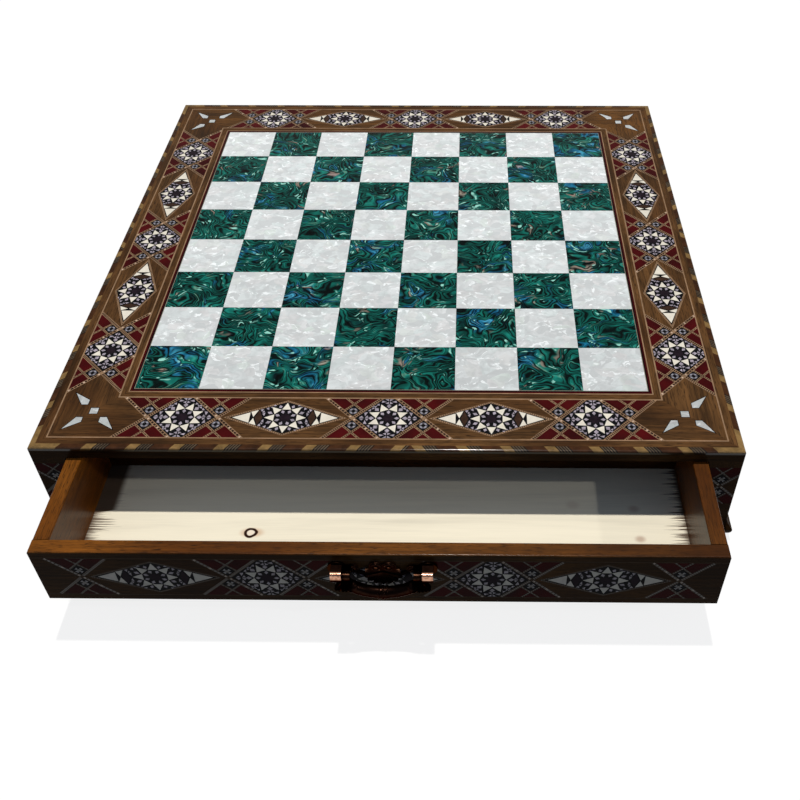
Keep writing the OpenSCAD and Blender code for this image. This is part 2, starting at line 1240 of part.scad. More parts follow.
module pull_screws() {
    color("silver")
        post_places() {
            translate([0, -plate_t - thread_l, 0])
                rotate([-90, 0, 0])
                    cylinder(r = pull_screw_r, h = plate_t + thread_l + wall_t);
            translate([0, wall_t, 0])
                rotate([-90, 0, 0])
                    cylinder(r = pull_head_r, h = pull_head_h);
        }
}

module leaf_layer(t, from, r) {
    rotate([90, 0, 0])
        linear_extrude(t, center = true)
            for (a = leaf_angles)
                rotate(a)
                    petal(leaf_r, from, r);
}

module leaf() {
    difference() {
        translate([leaf_x, 0, 0]) {
            leaf_layer(leaf_t, 2 * rib_from, web_r);
            leaf_layer(rib_t, rib_from, rib_tip_r);
        }
        translate([eye_x - 0.1, 0, 0])
            rotate([0, 90, 0])
                cylinder(r = leaf_clear_r, h = leaf_r);
    }
}

module bail_end() {
    leaf();
    translate([eye_x - eye_w - eye_r, 0, 0])
        rotate([0, 90, 0])
            cylinder(r = eye_r, h = eye_r + eye_w);
    translate([eye_x - 0.5, 0, 0])
        rotate([0, 90, 0])
            cylinder(r = pin_r, h = pin_l + 0.5);
    translate([bar_end_x, 0, bail_sag - bail_drop])
        sphere(bail_r + bar_end_swell);
}

module bail() {
    color(copper)
        as_pull() {
            both_ways()
                bail_end();
            translate([0, 0, bar_curve - bail_drop])
                rotate([90, 0, 0])
                    rotate([0, 0, -90 - bar_end_angle])
                        rotate_extrude(angle = 2 * bar_end_angle)
                            translate([bar_curve, 0])
                                circle(bail_r);
            for (bead = beads)
                translate([bead[0], 0, -bail_drop])
                    rotate([0, 90, 0])
                        rotate_extrude()
                            translate([bail_r, 0])
                                circle(bead[1]);
        }
}

in_box() top_board();
in_box() side_panel(-1);  // left_panel
in_box() side_panel(1);  // right_panel
in_box() corner_stiles();
in_box() drawer_guides();
in_box() base_board();
in_box() drawer_stops();
in_box() feet();
in_box() foot_screws();
in_box() light_squares();
in_box() dark_squares();
in_box() red_fillet();
in_box() light_strings();
in_box() walnut_bands();
in_box() corner_veneers();
in_box() corner_pearls();
in_box() ladder_strips();
in_box() narrow_strips();
in_box() red_panes();
in_box() black_diamonds();
in_box() rosettes();
in_box() star_grounds();
in_box() pearl_points();
in_box() star_hearts();
in_box() lozenge_borders();
in_box() band_fields();
in_box() rope_edging();
in_box() wall_walnut();
in_box() wall_lattice();
in_box() wall_panes();
in_box() wall_grounds();
in_box() wall_points();
in_front() drawer_front();  // front_drawer_front
in_front() drawer_back();  // front_drawer_back
in_front() drawer_side(-1);  // front_drawer_left
in_front() drawer_side(1);  // front_drawer_right
in_front() drawer_floor();  // front_drawer_floor
in_front() drawer_walnut();  // front_drawer_walnut
in_front() drawer_lattice();  // front_drawer_lattice
in_front() drawer_panes();  // front_drawer_panes
in_front() drawer_grounds();  // front_drawer_grounds
in_front() drawer_points();  // front_drawer_points
in_front() backplate();  // front_backplate
in_front() posts();  // front_posts
in_front() pull_screws();  // front_pull_screws
in_front() bail();  // front_bail
in_rear() drawer_front();  // rear_drawer_front
in_rear() drawer_back();  // rear_drawer_back
in_rear() drawer_side(-1);  // rear_drawer_left
in_rear() drawer_side(1);  // rear_drawer_right
in_rear() drawer_floor();  // rear_drawer_floor
in_rear() drawer_walnut();  // rear_drawer_walnut
in_rear() drawer_lattice();  // rear_drawer_lattice
in_rear() drawer_panes();  // rear_drawer_panes
in_rear() drawer_grounds();  // rear_drawer_grounds
in_rear() drawer_points();  // rear_drawer_points
in_rear() backplate();  // rear_backplate
in_rear() posts();  // rear_posts
in_rear() pull_screws();  // rear_pull_screws
in_rear() bail();  // rear_bail
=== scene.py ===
"""Looks of the inlaid chess box: woods, shells, mosaic, rope edging, pulls, camera and light.

All lengths are in metres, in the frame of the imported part. Marquetry is laid out flat, with u along a
band, v across it and its surface at zero, and is then set on the faces of the box and the drawers.
"""

import math

import bmesh
import bpy
from mathutils import Matrix, Vector


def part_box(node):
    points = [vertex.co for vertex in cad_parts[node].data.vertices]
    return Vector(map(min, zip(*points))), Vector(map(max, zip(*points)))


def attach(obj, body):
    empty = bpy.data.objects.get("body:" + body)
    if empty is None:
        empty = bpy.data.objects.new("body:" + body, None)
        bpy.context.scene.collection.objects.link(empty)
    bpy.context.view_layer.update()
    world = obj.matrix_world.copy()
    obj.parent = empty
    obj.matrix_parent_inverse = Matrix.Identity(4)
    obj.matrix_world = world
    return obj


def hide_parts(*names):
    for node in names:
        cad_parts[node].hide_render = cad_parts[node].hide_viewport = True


bl_info = {
    "name": "Inlaid Chess Box",
    "version": (1, 0, 0),
    "blender": (4, 5, 0),
    "location": "View3D > Sidebar > Chess Box",
    "description": "Dresses the inlaid chess box and sets its camera and light",
    "category": "Object",
}

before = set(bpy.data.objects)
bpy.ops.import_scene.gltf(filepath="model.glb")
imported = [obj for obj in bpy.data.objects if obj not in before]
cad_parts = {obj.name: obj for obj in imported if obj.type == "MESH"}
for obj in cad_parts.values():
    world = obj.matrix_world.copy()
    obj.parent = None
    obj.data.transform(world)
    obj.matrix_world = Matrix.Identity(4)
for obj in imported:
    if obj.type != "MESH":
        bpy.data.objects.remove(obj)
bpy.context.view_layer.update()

MM = 0.001


def middle_of(node):
    low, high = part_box(node)
    return (low + high) / 2


def half_width(node):
    low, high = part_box(node)
    return (high.x - low.x) / 2


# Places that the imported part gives.
BOX_MIDDLE = middle_of("top_board")
BOX_HALF = half_width("rope_edging")
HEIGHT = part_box("light_squares")[1].z
SQUARE_JOINT = 0.1 * MM
SQUARE = (2 * half_width("light_squares") + SQUARE_JOINT) / 8
WALL_MIDDLE_Z = middle_of("wall_walnut").z
DRAWER_MIDDLE_Z = middle_of("front_drawer_walnut").z
FRONT_FACE_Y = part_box("front_drawer_walnut")[0].y
REAR_FACE_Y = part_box("rear_drawer_walnut")[1].y
DRAWER_HALF_W = half_width("front_drawer_walnut")
POST_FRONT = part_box("rear_posts")[1].y
POST_MIDDLE_Z = middle_of("front_posts").z
PULL_X = middle_of("front_bail").x

# Sizes of the band, the rim, the corners, the posts and the drawers' gap, as in the part's source.
BAND_MID = 219.35 * MM
BAND_HALF = 19.65 * MM
STAR_PITCH = 3.118 * SQUARE
LADDER_REACH = 25.65 * MM
LADDER_W = 2.6 * MM
NARROW_NEAR = 11.4 * MM
NARROW_FAR = 39.4 * MM
LOZENGE_L = 44.4 * MM
LOZENGE_H = 17.4 * MM
LOZENGE_BORDER = 1.4 * MM
ROSETTE_R = 3.0 * MM
ROPE_W = 4.4 * MM
ROPE_H = 3.0 * MM
RIM_R = 1.2 * MM
MOTIF_IN = 36.5 * MM
POST_NECK = 24.7 * MM
DRAWER_GAP = 0.5 * MM

# Laid pieces reach this far below the veneers, and stand this much above them.
GROUND_DROP = 0.05 * MM
OVERLAY = 0.02 * MM


def srgb(red, green, blue):
    """A colour written as on a screen, 0 to 255, as the linear values that Blender works in."""

    def linear(value):
        value /= 255
        return value / 12.92 if value <= 0.04045 else ((value + 0.055) / 1.055) ** 2.4

    return (linear(red), linear(green), linear(blue))


def shade(colour, factor):
    return tuple(min(1.0, part * factor) for part in colour)


def rgba(colour):
    """A colour with its alpha. A single number is a grey."""
    return (*colour, 1) if isinstance(colour, tuple) else (colour, colour, colour, 1)


def colour_property(name, description, rgb):
    return bpy.props.FloatVectorProperty(
        name=name, description=description, subtype="COLOR", size=3, min=0, max=1, default=srgb(*rgb)
    )


def length_property(name, description, value):
    return bpy.props.FloatProperty(
        name=name, description=description, subtype="DISTANCE", unit="LENGTH", default=value, precision=5
    )


class BoxColours(bpy.types.PropertyGroup):
    walnut: colour_property("Walnut", "Middle tone of the walnut veneers", (84, 56, 29))
    pearl: colour_property("Pearl", "Ground tone of the mother-of-pearl", (216, 220, 221))
    abalone: colour_property("Abalone", "Main green of the abalone shell", (12, 90, 80))
    red: colour_property("Red", "Dyed veneer of the panes", (62, 3, 5))
    string: colour_property("String", "Pale wood of the strings and strips", (144, 115, 88))
    ebony: colour_property("Ebony", "Black grounds of the stars", (9, 9, 12))
    lavender: colour_property("Lavender", "Grey shell of the small kites", (160, 151, 162))
    heart: colour_property("Heart", "Dark heart of a star", (30, 20, 28))
    ivory: colour_property("Ivory", "Pearl points of the stars and tips of the lozenges", (224, 217, 202))
    stain: colour_property("Stain", "Stained walls of the drawers", (92, 52, 13))
    pine: colour_property("Pine", "Bare floor of the drawers", (240, 232, 210))
    copper: colour_property("Copper", "Antiqued metal of the pulls", (52, 32, 25))


class BoxSizes(bpy.types.PropertyGroup):
    dash_pitch: length_property("Dash pitch", "Distance of the dashes in a ladder strip", 2.6 * MM)
    pale_pitch: length_property("Pale pitch", "Distance of the pale squares in a ladder strip", 10.4 * MM)
    comb_pitch: length_property("Comb pitch", "Distance of the teeth in a comb strip", 1.6 * MM)
    rope_pitch: length_property("Rope pitch", "Length of one repeat of the rope edging", 30.85 * MM)


class StudioSettings(bpy.types.PropertyGroup):
    sun: bpy.props.FloatProperty(name="Sun", description="Strength of the overhead light", default=2.75)
    side_lamp: bpy.props.FloatProperty(
        name="Side lamp", description="Strength of the weak light from the right", default=0.38
    )
    sun_angle: bpy.props.FloatProperty(
        name="Sun angle", description="Softness of the overhead light", subtype="ANGLE", unit="ROTATION",
        default=math.radians(1.5),
    )
    fill: bpy.props.FloatProperty(
        name="Fill", description="Strength of the light from all round", default=0.26
    )


def dye(name):
    """One of the colours set in the panel."""
    return tuple(getattr(bpy.context.scene.chess_colours, name))


# Materials


class Nodes:
    """A node tree that grows one call at a time. Calls take values or sockets, and give sockets."""

    def __init__(self, tree):
        self.tree = tree

    def put(self, socket, value):
        if isinstance(value, bpy.types.NodeSocket):
            self.tree.links.new(value, socket)
        else:
            socket.default_value = rgba(value) if socket.type == "RGBA" else value

    def node(self, kind, inputs, **settings):
        """A new node. Inputs are values in order, or by name."""
        made = self.tree.nodes.new(kind)
        for key, value in settings.items():
            setattr(made, key, value)
        named = inputs.items() if isinstance(inputs, dict) else enumerate(inputs)
        for key, value in named:
            self.put(made.inputs[key], value)
        return made

    def add(self, kind, inputs=(), output=0, **settings):
        return self.node(kind, inputs, **settings).outputs[output]

    def shift(self, vector, by):
        return self.add("ShaderNodeVectorMath", (vector, by), operation="ADD")

    def stretch(self, vector, by):
        return self.add("ShaderNodeVectorMath", (vector, by), operation="MULTIPLY")

    def split(self, vector):
        return self.node("ShaderNodeSeparateXYZ", (vector,)).outputs

    def join(self, x, y, z):
        return self.add("ShaderNodeCombineXYZ", (x, y, z))

    def maths(self, operation, *values):
        return self.add("ShaderNodeMath", values, operation=operation)

    def plus(self, first, *others):
        for other in others:
            first = self.maths("ADD", first, other)
        return first

    def minus(self, first, second):
        return self.maths("SUBTRACT", first, second)

    def times(self, first, *others):
        for other in others:
            first = self.maths("MULTIPLY", first, other)
        return first

    def size(self, value):
        return self.maths("ABSOLUTE", value)

    def step(self, value, width):
        """The number of the step that a value lies on."""
        return self.maths("FLOOR", self.maths("DIVIDE", value, width))

    def between(self, value, low, high):
        """Rises smoothly from 0 at low to 1 at high; falls where low is the larger."""
        return self.add("ShaderNodeMapRange", (value, low, high), interpolation_type="SMOOTHSTEP")

    def mix(self, factor, first, second, blend="MIX"):
        return self.add(
            "ShaderNodeMix", {0: factor, 6: first, 7: second}, 2, data_type="RGBA", blend_type=blend
        )

    def tint(self, colour, by):
        return self.mix(1.0, colour, by, "MULTIPLY")


class Paint(Nodes):
    """A material and its patterns."""

    def __init__(self, name, roughness=0.4, coat=0.35, coat_roughness=0.05, metallic=0.0, specular=0.06):
        self.material = bpy.data.materials.new(name)
        self.material.use_nodes = True
        super().__init__(self.material.node_tree)
        self.shader = self.tree.nodes["Principled BSDF"]
        self.feed("Roughness", roughness)
        self.feed("Coat Weight", coat)
        self.feed("Coat Roughness", coat_roughness)
        self.feed("Metallic", metallic)
        self.feed("Specular IOR Level", 0.5 if metallic else specular)
        # The place on the object, from the middle of the box.
        self.place = self.shift(self.add("ShaderNodeTexCoord", output="Object"), (0, -BOX_MIDDLE.y, 0))

    def feed(self, socket, value):
        self.put(self.shader.inputs[socket], value)

    def noise(self, vector, scale, detail=2.0, roughness=0.5, distortion=0.0, output=0):
        """A noise, of one scale or of three along x, y and z."""
        if isinstance(scale, tuple):
            vector, scale = self.stretch(vector, scale), 1.0
        return self.add("ShaderNodeTexNoise", {
            "Vector": vector, "Scale": scale, "Detail": detail, "Roughness": roughness,
            "Distortion": distortion,
        }, output)

    def bent(self, scale, by):
        """The place, moved to and fro in the plane by a noise, to bend other patterns."""
        sway = self.shift(self.noise(self.place, scale, output="Color"), (-0.5, -0.5, -0.5))
        return self.shift(self.place, self.stretch(sway, (by, by, 0.0)))

    def chance(self, dimensions, *numbers):
        """A number between 0 and 1 that hangs on whole numbers."""
        return self.add(
            "ShaderNodeTexWhiteNoise", {"Vector": self.join(*numbers)}, noise_dimensions=dimensions
        )

    def ramp(self, value, *stops):
        """Colours between stops, each a place and a colour or grey."""
        node = self.node("ShaderNodeValToRGB", (value,))
        elements = node.color_ramp.elements
        while len(elements) < len(stops):
            elements.new(0.5)
        for element, (place, colour) in zip(elements, stops):
            element.position = place
            element.color = rgba(colour)
        return node.outputs[0]

    def shades(self, value, colour, *stops):
        """Shades of one colour between stops, each a place and a factor."""
        return self.ramp(value, *((place, shade(colour, factor)) for place, factor in stops))

    def bump(self, height, distance, strength=1.0):
        self.feed("Normal", self.add(
            "ShaderNodeBump", {"Height": height, "Distance": distance, "Strength": strength}
        ))

    def finished(self, base):
        self.feed("Base Color", base)
        return self.material


def grain_along(paint, direction):
    """Coordinates with the grain along x: along "x" or "y", or "round" for bands round the board."""
    x, y, z = paint.split(paint.place)
    if direction == "x":
        return paint.place
    if direction == "y":
        return paint.join(y, x, z)
    beside = paint.maths("GREATER_THAN", paint.size(x), paint.size(y))
    before = paint.minus(1.0, beside)
    along = paint.plus(paint.times(y, beside), paint.times(x, before))
    across = paint.plus(paint.times(x, beside), paint.times(y, before))
    return paint.join(along, across, z)


def tone_of_field(paint, place):
    """A number for each walnut field between two stars, so that neighbours differ like two veneers."""
    along, across, _ = paint.split(place)
    outside = paint.maths("GREATER_THAN", paint.size(across), BAND_MID)
    side = paint.maths("SIGN", across)
    field = paint.step(along, STAR_PITCH)
    return paint.chance("3D", field, paint.times(outside, 5.0), paint.times(side, 3.0))


def wood(name, colour, direction, figure=1.0, fields=False, drift=None, **lacquer):
    """Open-grained wood: broad figure, growth lines, fine fibres and short dark pores along the grain.
    Drift is an axis, 0 or 1, its two places and the colour that multiplies the wood at the second one."""
    paint = Paint(name, **lacquer)
    place = grain_along(paint, direction)
    broad = paint.noise(place, (14, 46, 46), 3.0, 0.55, 0.8)
    lines = paint.noise(place, (14, 420, 420), 2.0, 0.5, 0.6)
    fibre = paint.noise(place, (45, 1300, 1300), 3.0, 0.6)
    pores = paint.noise(place, (130, 2300, 2300), 1.0)
    tone = paint.plus(paint.times(broad, 0.46), paint.times(lines, 0.36), paint.times(fibre, 0.18))
    spread = 0.6 * figure
    base = paint.shades(tone, colour, (0.38, 1 - spread), (0.5, 1), (0.64, 1 + spread))
    patch = tone_of_field(paint, place) if fields else paint.noise(place, 11.0, 1.0)
    low, high = (0.0, 1.0) if fields else (0.38, 0.62)
    base = paint.tint(base, paint.ramp(
        patch, (low, (0.62, 0.56, 0.5)), (0.5, 0.95), (high, (1.28, 1.32, 1.34))
    ))
    if drift:
        axis, start, end, tone = drift
        there = paint.between(paint.split(paint.place)[axis], start, end)
        base = paint.mix(there, base, paint.tint(base, tone))
    paint.bump(fibre, 0.02 * MM, 0.3)
    return paint.finished(paint.mix(paint.between(pores, 0.56, 0.68), base, shade(colour, 0.3)))


def plain_wood(name, colour, variation=0.25, scale=90.0, shade_below_edge=1.0, **lacquer):
    """Small dyed or pale pieces, whose colour changes from piece to piece and along the fibres.
    The last number darkens them on the upright faces below the top's edge, a painted shade."""
    paint = Paint(name, **lacquer)
    patch = paint.noise(paint.place, scale, 2.0, 0.6)
    fibre = paint.noise(paint.place, 1400.0, 1.0)
    tone = paint.plus(paint.times(patch, 0.8), paint.times(fibre, 0.2))
    base = paint.shades(tone, colour, (0.32, 1 - variation), (0.5, 1), (0.68, 1 + variation))
    # Painted shade: the upright faces below the top's edge are darker.
    if shade_below_edge < 1:
        lit = paint.between(paint.split(paint.place)[2], HEIGHT - 1.7 * MM, HEIGHT - 0.5 * MM)
        base = paint.mix(lit, paint.tint(base, shade_below_edge), base)
    return paint.finished(base)


def pearl_material(name, ground):
    """Mother-of-pearl: pale ground, cloudy chips and brighter flecks under lacquer. Each square has its
    own tone, and the far ones are lighter, a painted sheen of glare."""
    paint = Paint(name, roughness=0.3, coat=0.6, coat_roughness=0.03, specular=0.12)
    bent = paint.bent(75.0, 0.014)
    chips = paint.add(
        "ShaderNodeTexVoronoi", {"Vector": paint.stretch(bent, (0.75, 1, 1)), "Scale": 170.0}, "Color"
    )
    level, kind, third = paint.split(chips)
    clouds = paint.shades(paint.noise(bent, 95.0, 3.0, 0.6), ground, (0.3, 0.85), (0.5, 1), (0.7, 1.12))
    base = paint.tint(clouds, paint.ramp(
        kind, (0.0, (0.95, 0.99, 0.98)), (0.5, 1.0), (0.8, (1.0, 0.965, 0.96)), (1.0, (0.95, 1.0, 0.95))
    ))
    base = paint.mix(paint.between(third, 0.72, 0.8), base, shade(ground, 0.87))
    wisps = paint.noise(paint.stretch(bent, (0.8, 1.2, 1)), 260.0, 2.0, 0.55, 0.5)
    base = paint.mix(paint.times(paint.between(wisps, 0.5, 0.38), 0.4), base, shade(ground, 0.78))
    flecks = paint.times(paint.between(wisps, 0.56, 0.66), paint.between(level, 0.45, 0.6))
    base = paint.mix(flecks, base, shade(ground, 1.35))
    x, y, _ = paint.split(paint.place)
    square = paint.chance("2D", paint.step(x, SQUARE), paint.step(y, SQUARE), 0)
    # Lighter towards the far side: a painted sheen of the glare on the far part of the top.
    tone = paint.plus(paint.times(square, 0.06), paint.times(y, 0.5), 1.0)
    paint.bump(wisps, 0.03 * MM, 0.3)
    return paint.finished(paint.tint(base, paint.join(tone, tone, tone)))


def abalone_material():
    """Green shell in thin layers with black lines between them. The layers change tone, some are blue or
    rosy, and pale glints follow them."""
    green = dye("abalone")
    paint = Paint("abalone", roughness=0.25, coat=0.6, coat_roughness=0.03, specular=0.12)
    bent = paint.bent(46.0, 0.024)
    growth = paint.noise(paint.stretch(bent, (0.85, 1.1, 1)), 42.0, 0.6, 0.4, 0.6)
    coarse = paint.times(growth, 20.0)
    layer = paint.maths("FLOOR", coarse)
    inside = paint.maths("PINGPONG", coarse, 0.5)
    hair = paint.maths("PINGPONG", paint.times(growth, 60.0), 0.5)
    x, y, _ = paint.split(bent)

    def in_layer(scale, offset, step):
        """A noise that is smooth along a layer and partly new in the next one."""
        depth = paint.plus(paint.times(layer, step / scale), offset)
        return paint.noise(paint.join(x, y, depth), scale)

    def where(scale, low, high):
        """The parts of the board where a broad noise is high."""
        return paint.between(paint.noise(paint.place, scale, 1.0), low, high)

    base = paint.ramp(
        in_layer(66.0, 0.0, 1.0), (0.30, srgb(2, 26, 30)), (0.42, shade(green, 0.5)), (0.52, green),
        (0.62, srgb(22, 114, 102)), (0.74, srgb(92, 134, 114)),
    )
    blues = paint.ramp(
        in_layer(80.0, 1.3, 1.0), (0.36, srgb(8, 58, 86)), (0.52, srgb(22, 98, 136)),
        (0.66, srgb(66, 148, 182)),
    )
    blue = paint.times(paint.between(in_layer(44.0, 3.1, 0.5), 0.5, 0.6), where(21.0, 0.47, 0.56), 0.9)
    base = paint.mix(blue, base, blues)
    rosy = paint.times(paint.between(in_layer(60.0, 7.7, 1.0), 0.57, 0.64), where(34.0, 0.56, 0.62), 0.7)
    base = paint.mix(rosy, base, srgb(156, 132, 120))
    wide = paint.times(paint.minus(paint.noise(paint.place, 70.0), 0.54), 0.55)
    edge = paint.plus(inside, wide)
    tone = paint.ramp(edge, (0.02, 0.04), (0.1, 0.14), (0.2, 0.8), (0.34, 1.0), (0.52, 1.55))
    base = paint.tint(base, tone)
    drawn = paint.times(paint.between(hair, 0.2, 0.06), where(40.0, 0.44, 0.52), 0.7)
    base = paint.mix(drawn, base, srgb(2, 14, 16))
    glints = paint.times(
        paint.between(in_layer(150.0, 5.2, 1.4), 0.58, 0.65), where(75.0, 0.48, 0.58),
        paint.between(edge, 0.16, 0.26),
    )
    paint.bump(growth, 0.06 * MM, 0.3)
    return paint.finished(paint.mix(glints, base, srgb(150, 216, 200)))


def hearts_material(heart, rhombus):
    """Dark hearts of stars and lozenges, and the brown rhombi beside the lozenges' hearts."""
    paint = Paint("star_heart")
    along = paint.split(grain_along(paint, "round"))[0]
    away = paint.maths("PINGPONG", along, STAR_PITCH / 4)
    base = paint.mix(paint.between(away, 9 * MM, 11 * MM), heart, rhombus)
    fibre = paint.ramp(paint.noise(paint.place, 300.0), (0.3, 0.7), (0.7, 1.3))
    return paint.finished(paint.tint(base, fibre))


def panes_material(name, level, **lacquer):
    """Red panes of an upright band, and the dark hearts and rhombi on its middle line, at a level."""
    paint = Paint(name, **lacquer)
    away = paint.size(paint.minus(paint.split(paint.place)[2], level))
    # The red is darker than the top's panes: painted shade of the upright faces.
    red = paint.shades(paint.noise(paint.place, 60.0), dye("red"), (0.32, 0.25), (0.68, 0.7))
    pane = paint.between(away, 7.5 * MM, 8.0 * MM)
    return paint.finished(paint.mix(pane, shade(dye("heart"), 0.8), red))


def fillet_material():
    """The fillet round the squares: a hair of pale glue, a black line, then dark red."""
    paint = Paint("red_fillet", roughness=0.3)
    x, y, _ = paint.split(paint.place)
    out = paint.maths("MAXIMUM", paint.size(x), paint.size(y))
    field = 4 * SQUARE
    line = paint.between(out, field + 1.6 * MM, field + 1.3 * MM)
    glue = paint.between(out, field + 0.5 * MM, field + 0.3 * MM)
    red = paint.shades(paint.noise(paint.place, 60.0), dye("red"), (0.3, 0.6), (0.7, 1.2))
    return paint.finished(paint.mix(glue, paint.mix(line, red, dye("ebony")), srgb(150, 136, 118)))


# Marks on the drawers' bare floor, as places from the middle of the box.
KNOT = (-97.3 * MM, -278.4 * MM)
HALO = (-96.5 * MM, -278.0 * MM)
# Faint spots: x, y, radius and strength.
SPOTS = (
    (180.0 * MM, -281.4 * MM, 5.5 * MM, 0.5), (178.6 * MM, -254.3 * MM, 6.0 * MM, 0.35),
    (134.3 * MM, -251.0 * MM, 7.0 * MM, 0.2),
)
# Side, where the stain begins and is full, how far its streaks reach inwards, and how far a solid
# dark band reaches, except at the drawer's front.
STAINS = (
    (-1, 211 * MM, 217 * MM, 27 * MM, 14 * MM), (1, 213 * MM, 217 * MM, 20 * MM, 2 * MM),
)
# From where to where the solid dark band along a side sets in, behind the drawer's front, at the edge of
# the top's shadow.
DARK_BAND_SOLID = (-262 * MM, -258 * MM)


def pine_material():
    """Bare plywood floor: pale pine with long figure, a knot, stain that the walls' brush left, and a solid
    dark band along each side further in.
    """
    paint = Paint("pine", roughness=0.62, coat=0.0)
    place = paint.place
    broad = paint.noise(place, (4, 45, 1), 3.0, 0.5, 1.2)
    fibre = paint.noise(place, (30, 900, 1))
    tone = paint.plus(paint.times(broad, 0.8), paint.times(fibre, 0.2))
    base = paint.shades(tone, dye("pine"), (0.3, 0.86), (0.5, 1), (0.62, 1.05), (0.74, 0.93))

    def away_from(x, y, narrow):
        """The distance from a mark, which is narrower across the grain."""
        apart = paint.stretch(paint.shift(place, (-x, -y, 0)), (1, narrow, 0))
        return paint.add("ShaderNodeVectorMath", (apart,), "Value", operation="LENGTH")

    halo = paint.between(away_from(*HALO, 2.0), 11 * MM, 4 * MM)
    base = paint.mix(paint.times(halo, 0.5), base, srgb(190, 128, 66))
    wobble = paint.times(paint.minus(paint.noise(place, 160.0, 1.0), 0.5), 2.4 * MM)
    ring = paint.plus(away_from(*KNOT, 1.1), wobble)
    base = paint.mix(paint.between(ring, 3.4 * MM, 2.6 * MM), base, srgb(240, 226, 206))
    dark = paint.times(paint.between(ring, 5.3 * MM, 4.5 * MM), paint.between(ring, 2.3 * MM, 3.0 * MM))
    base = paint.mix(dark, base, srgb(44, 20, 8))
    for x, y, radius, strength in SPOTS:
        spot = paint.between(away_from(x, y, 1.3), radius, 0.2 * radius)
        base = paint.mix(paint.times(spot, strength), base, srgb(150, 96, 70))
    x, y, _ = paint.split(place)
    ragged = paint.between(paint.noise(place, (9, 640, 1), 4.0, 0.8), 0.40, 0.78)
    behind = paint.between(y, *DARK_BAND_SOLID)
    for side, low, high, length, solid in STAINS:
        longest = paint.maths("MAXIMUM", paint.times(ragged, length), paint.times(behind, solid))
        reach = paint.plus(paint.times(x, side), longest)
        base = paint.mix(paint.times(paint.between(reach, low, high), 0.93), base, srgb(62, 34, 12))
    paint.bump(fibre, 0.06 * MM, 0.5)
    return paint.finished(base)


def copper_paint(name):
    """Softly scratched copper. Gives the paint, its wear and the distance from the pull's middle."""
    paint = Paint(name, roughness=0.3, coat=0.0, metallic=1.0)
    paint.feed("Specular Tint", (0.4, 0.3, 0.26))
    paint.bump(paint.noise(paint.place, 900.0), 0.05 * MM, 0.25)
    # The pulls stand a little off the middle, each to its own right.
    x, y, _ = paint.split(paint.place)
    from_middle = paint.size(paint.plus(x, paint.times(paint.maths("SIGN", y), PULL_X)))
    return paint, paint.noise(paint.place, 420.0, 3.0, 0.6), from_middle


def copper_tones(paint, tone):
    """Nearly black in the hollows, lighter where the tone is high."""
    dark = dye("copper")
    return paint.ramp(
        tone, (0.12, shade(dark, 0.2)), (0.32, shade(dark, 0.5)), (0.6, shade(dark, 1.5)),
        (0.9, srgb(150, 104, 78)),
    )


def antique_copper():
    """The copper of plates and bails, lighter on the sharp edges, partly wear and partly a painted
    highlight, and black at the bails' eyes.
    """
    paint, worn, from_middle = copper_paint("antique_copper")
    # The sharp edges are lighter: worn copper, and partly a painted highlight along them.
    edges = paint.between(paint.add("ShaderNodeNewGeometry", output="Pointiness"), 0.52, 0.60)
    base = copper_tones(paint, paint.plus(paint.times(edges, 0.55), paint.times(worn, 0.45)))
    eye = paint.between(from_middle, 18.5 * MM, 20.5 * MM)
    return paint.finished(paint.mix(eye, base, paint.tint(base, 0.12)))


def worn_copper():
    """The copper of the posts, worn, with a painted highlight on their lower front, where they face
    forward.
    """
    paint, worn, from_middle = copper_paint("worn_copper")
    base = copper_tones(paint, paint.times(worn, 0.45))
    _, y, z = paint.split(paint.place)
    sideways = paint.size(paint.split(paint.add("ShaderNodeNewGeometry", output="Normal"))[0])
    # At rest both pulls stand as far from the origin.
    depth = paint.size(paint.plus(y, BOX_MIDDLE.y))
    # Painted highlight: lit copper on the lower front of each post, where it faces forward.
    painted_highlight_mask = paint.times(
        paint.between(depth, POST_FRONT - 2.8 * MM, POST_FRONT - 2.4 * MM),
        paint.between(z, POST_MIDDLE_Z - 1.2 * MM, POST_MIDDLE_Z - 0.6 * MM),
        paint.between(sideways, 0.8, 0.4),
        paint.between(from_middle, POST_NECK - 0.5 * MM, POST_NECK + 0.5 * MM),
    )
    painted_highlight_colour = paint.ramp(worn, (0.35, srgb(150, 104, 82)), (0.65, srgb(212, 166, 140)))
    return paint.finished(paint.mix(painted_highlight_mask, base, painted_highlight_colour))


def steel_material():
    paint = Paint("screw_steel", roughness=0.32, coat=0.0, metallic=1.0)
    rings = paint.noise(paint.place, 700.0)
    return paint.finished(paint.ramp(rings, (0.3, (0.42, 0.42, 0.43)), (0.7, (0.62, 0.62, 0.64))))


def give(material, *nodes):
    """Puts a material on CAD nodes."""
    for name in nodes:
        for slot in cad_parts[name].material_slots:
            slot.material = material


DRAWERS = ("front", "rear")


def both_drawers(*endings):
    return [f"{drawer}_{ending}" for drawer in DRAWERS for ending in endings]


# Materials that one step makes and a later one uses too.
MADE = {}

# Lacquers: polished on the top, rubbed down to a thin satin on the sides, and brushed in the drawers.
GLOSS = {"coat": 0.3, "specular": 0.08}
SATIN = {"coat": 0.012, "coat_roughness": 0.12, "specular": 0.01}
VARNISH = {"roughness": 0.4, "coat": 0.18, "coat_roughness": 0.16, "specular": 0.08}


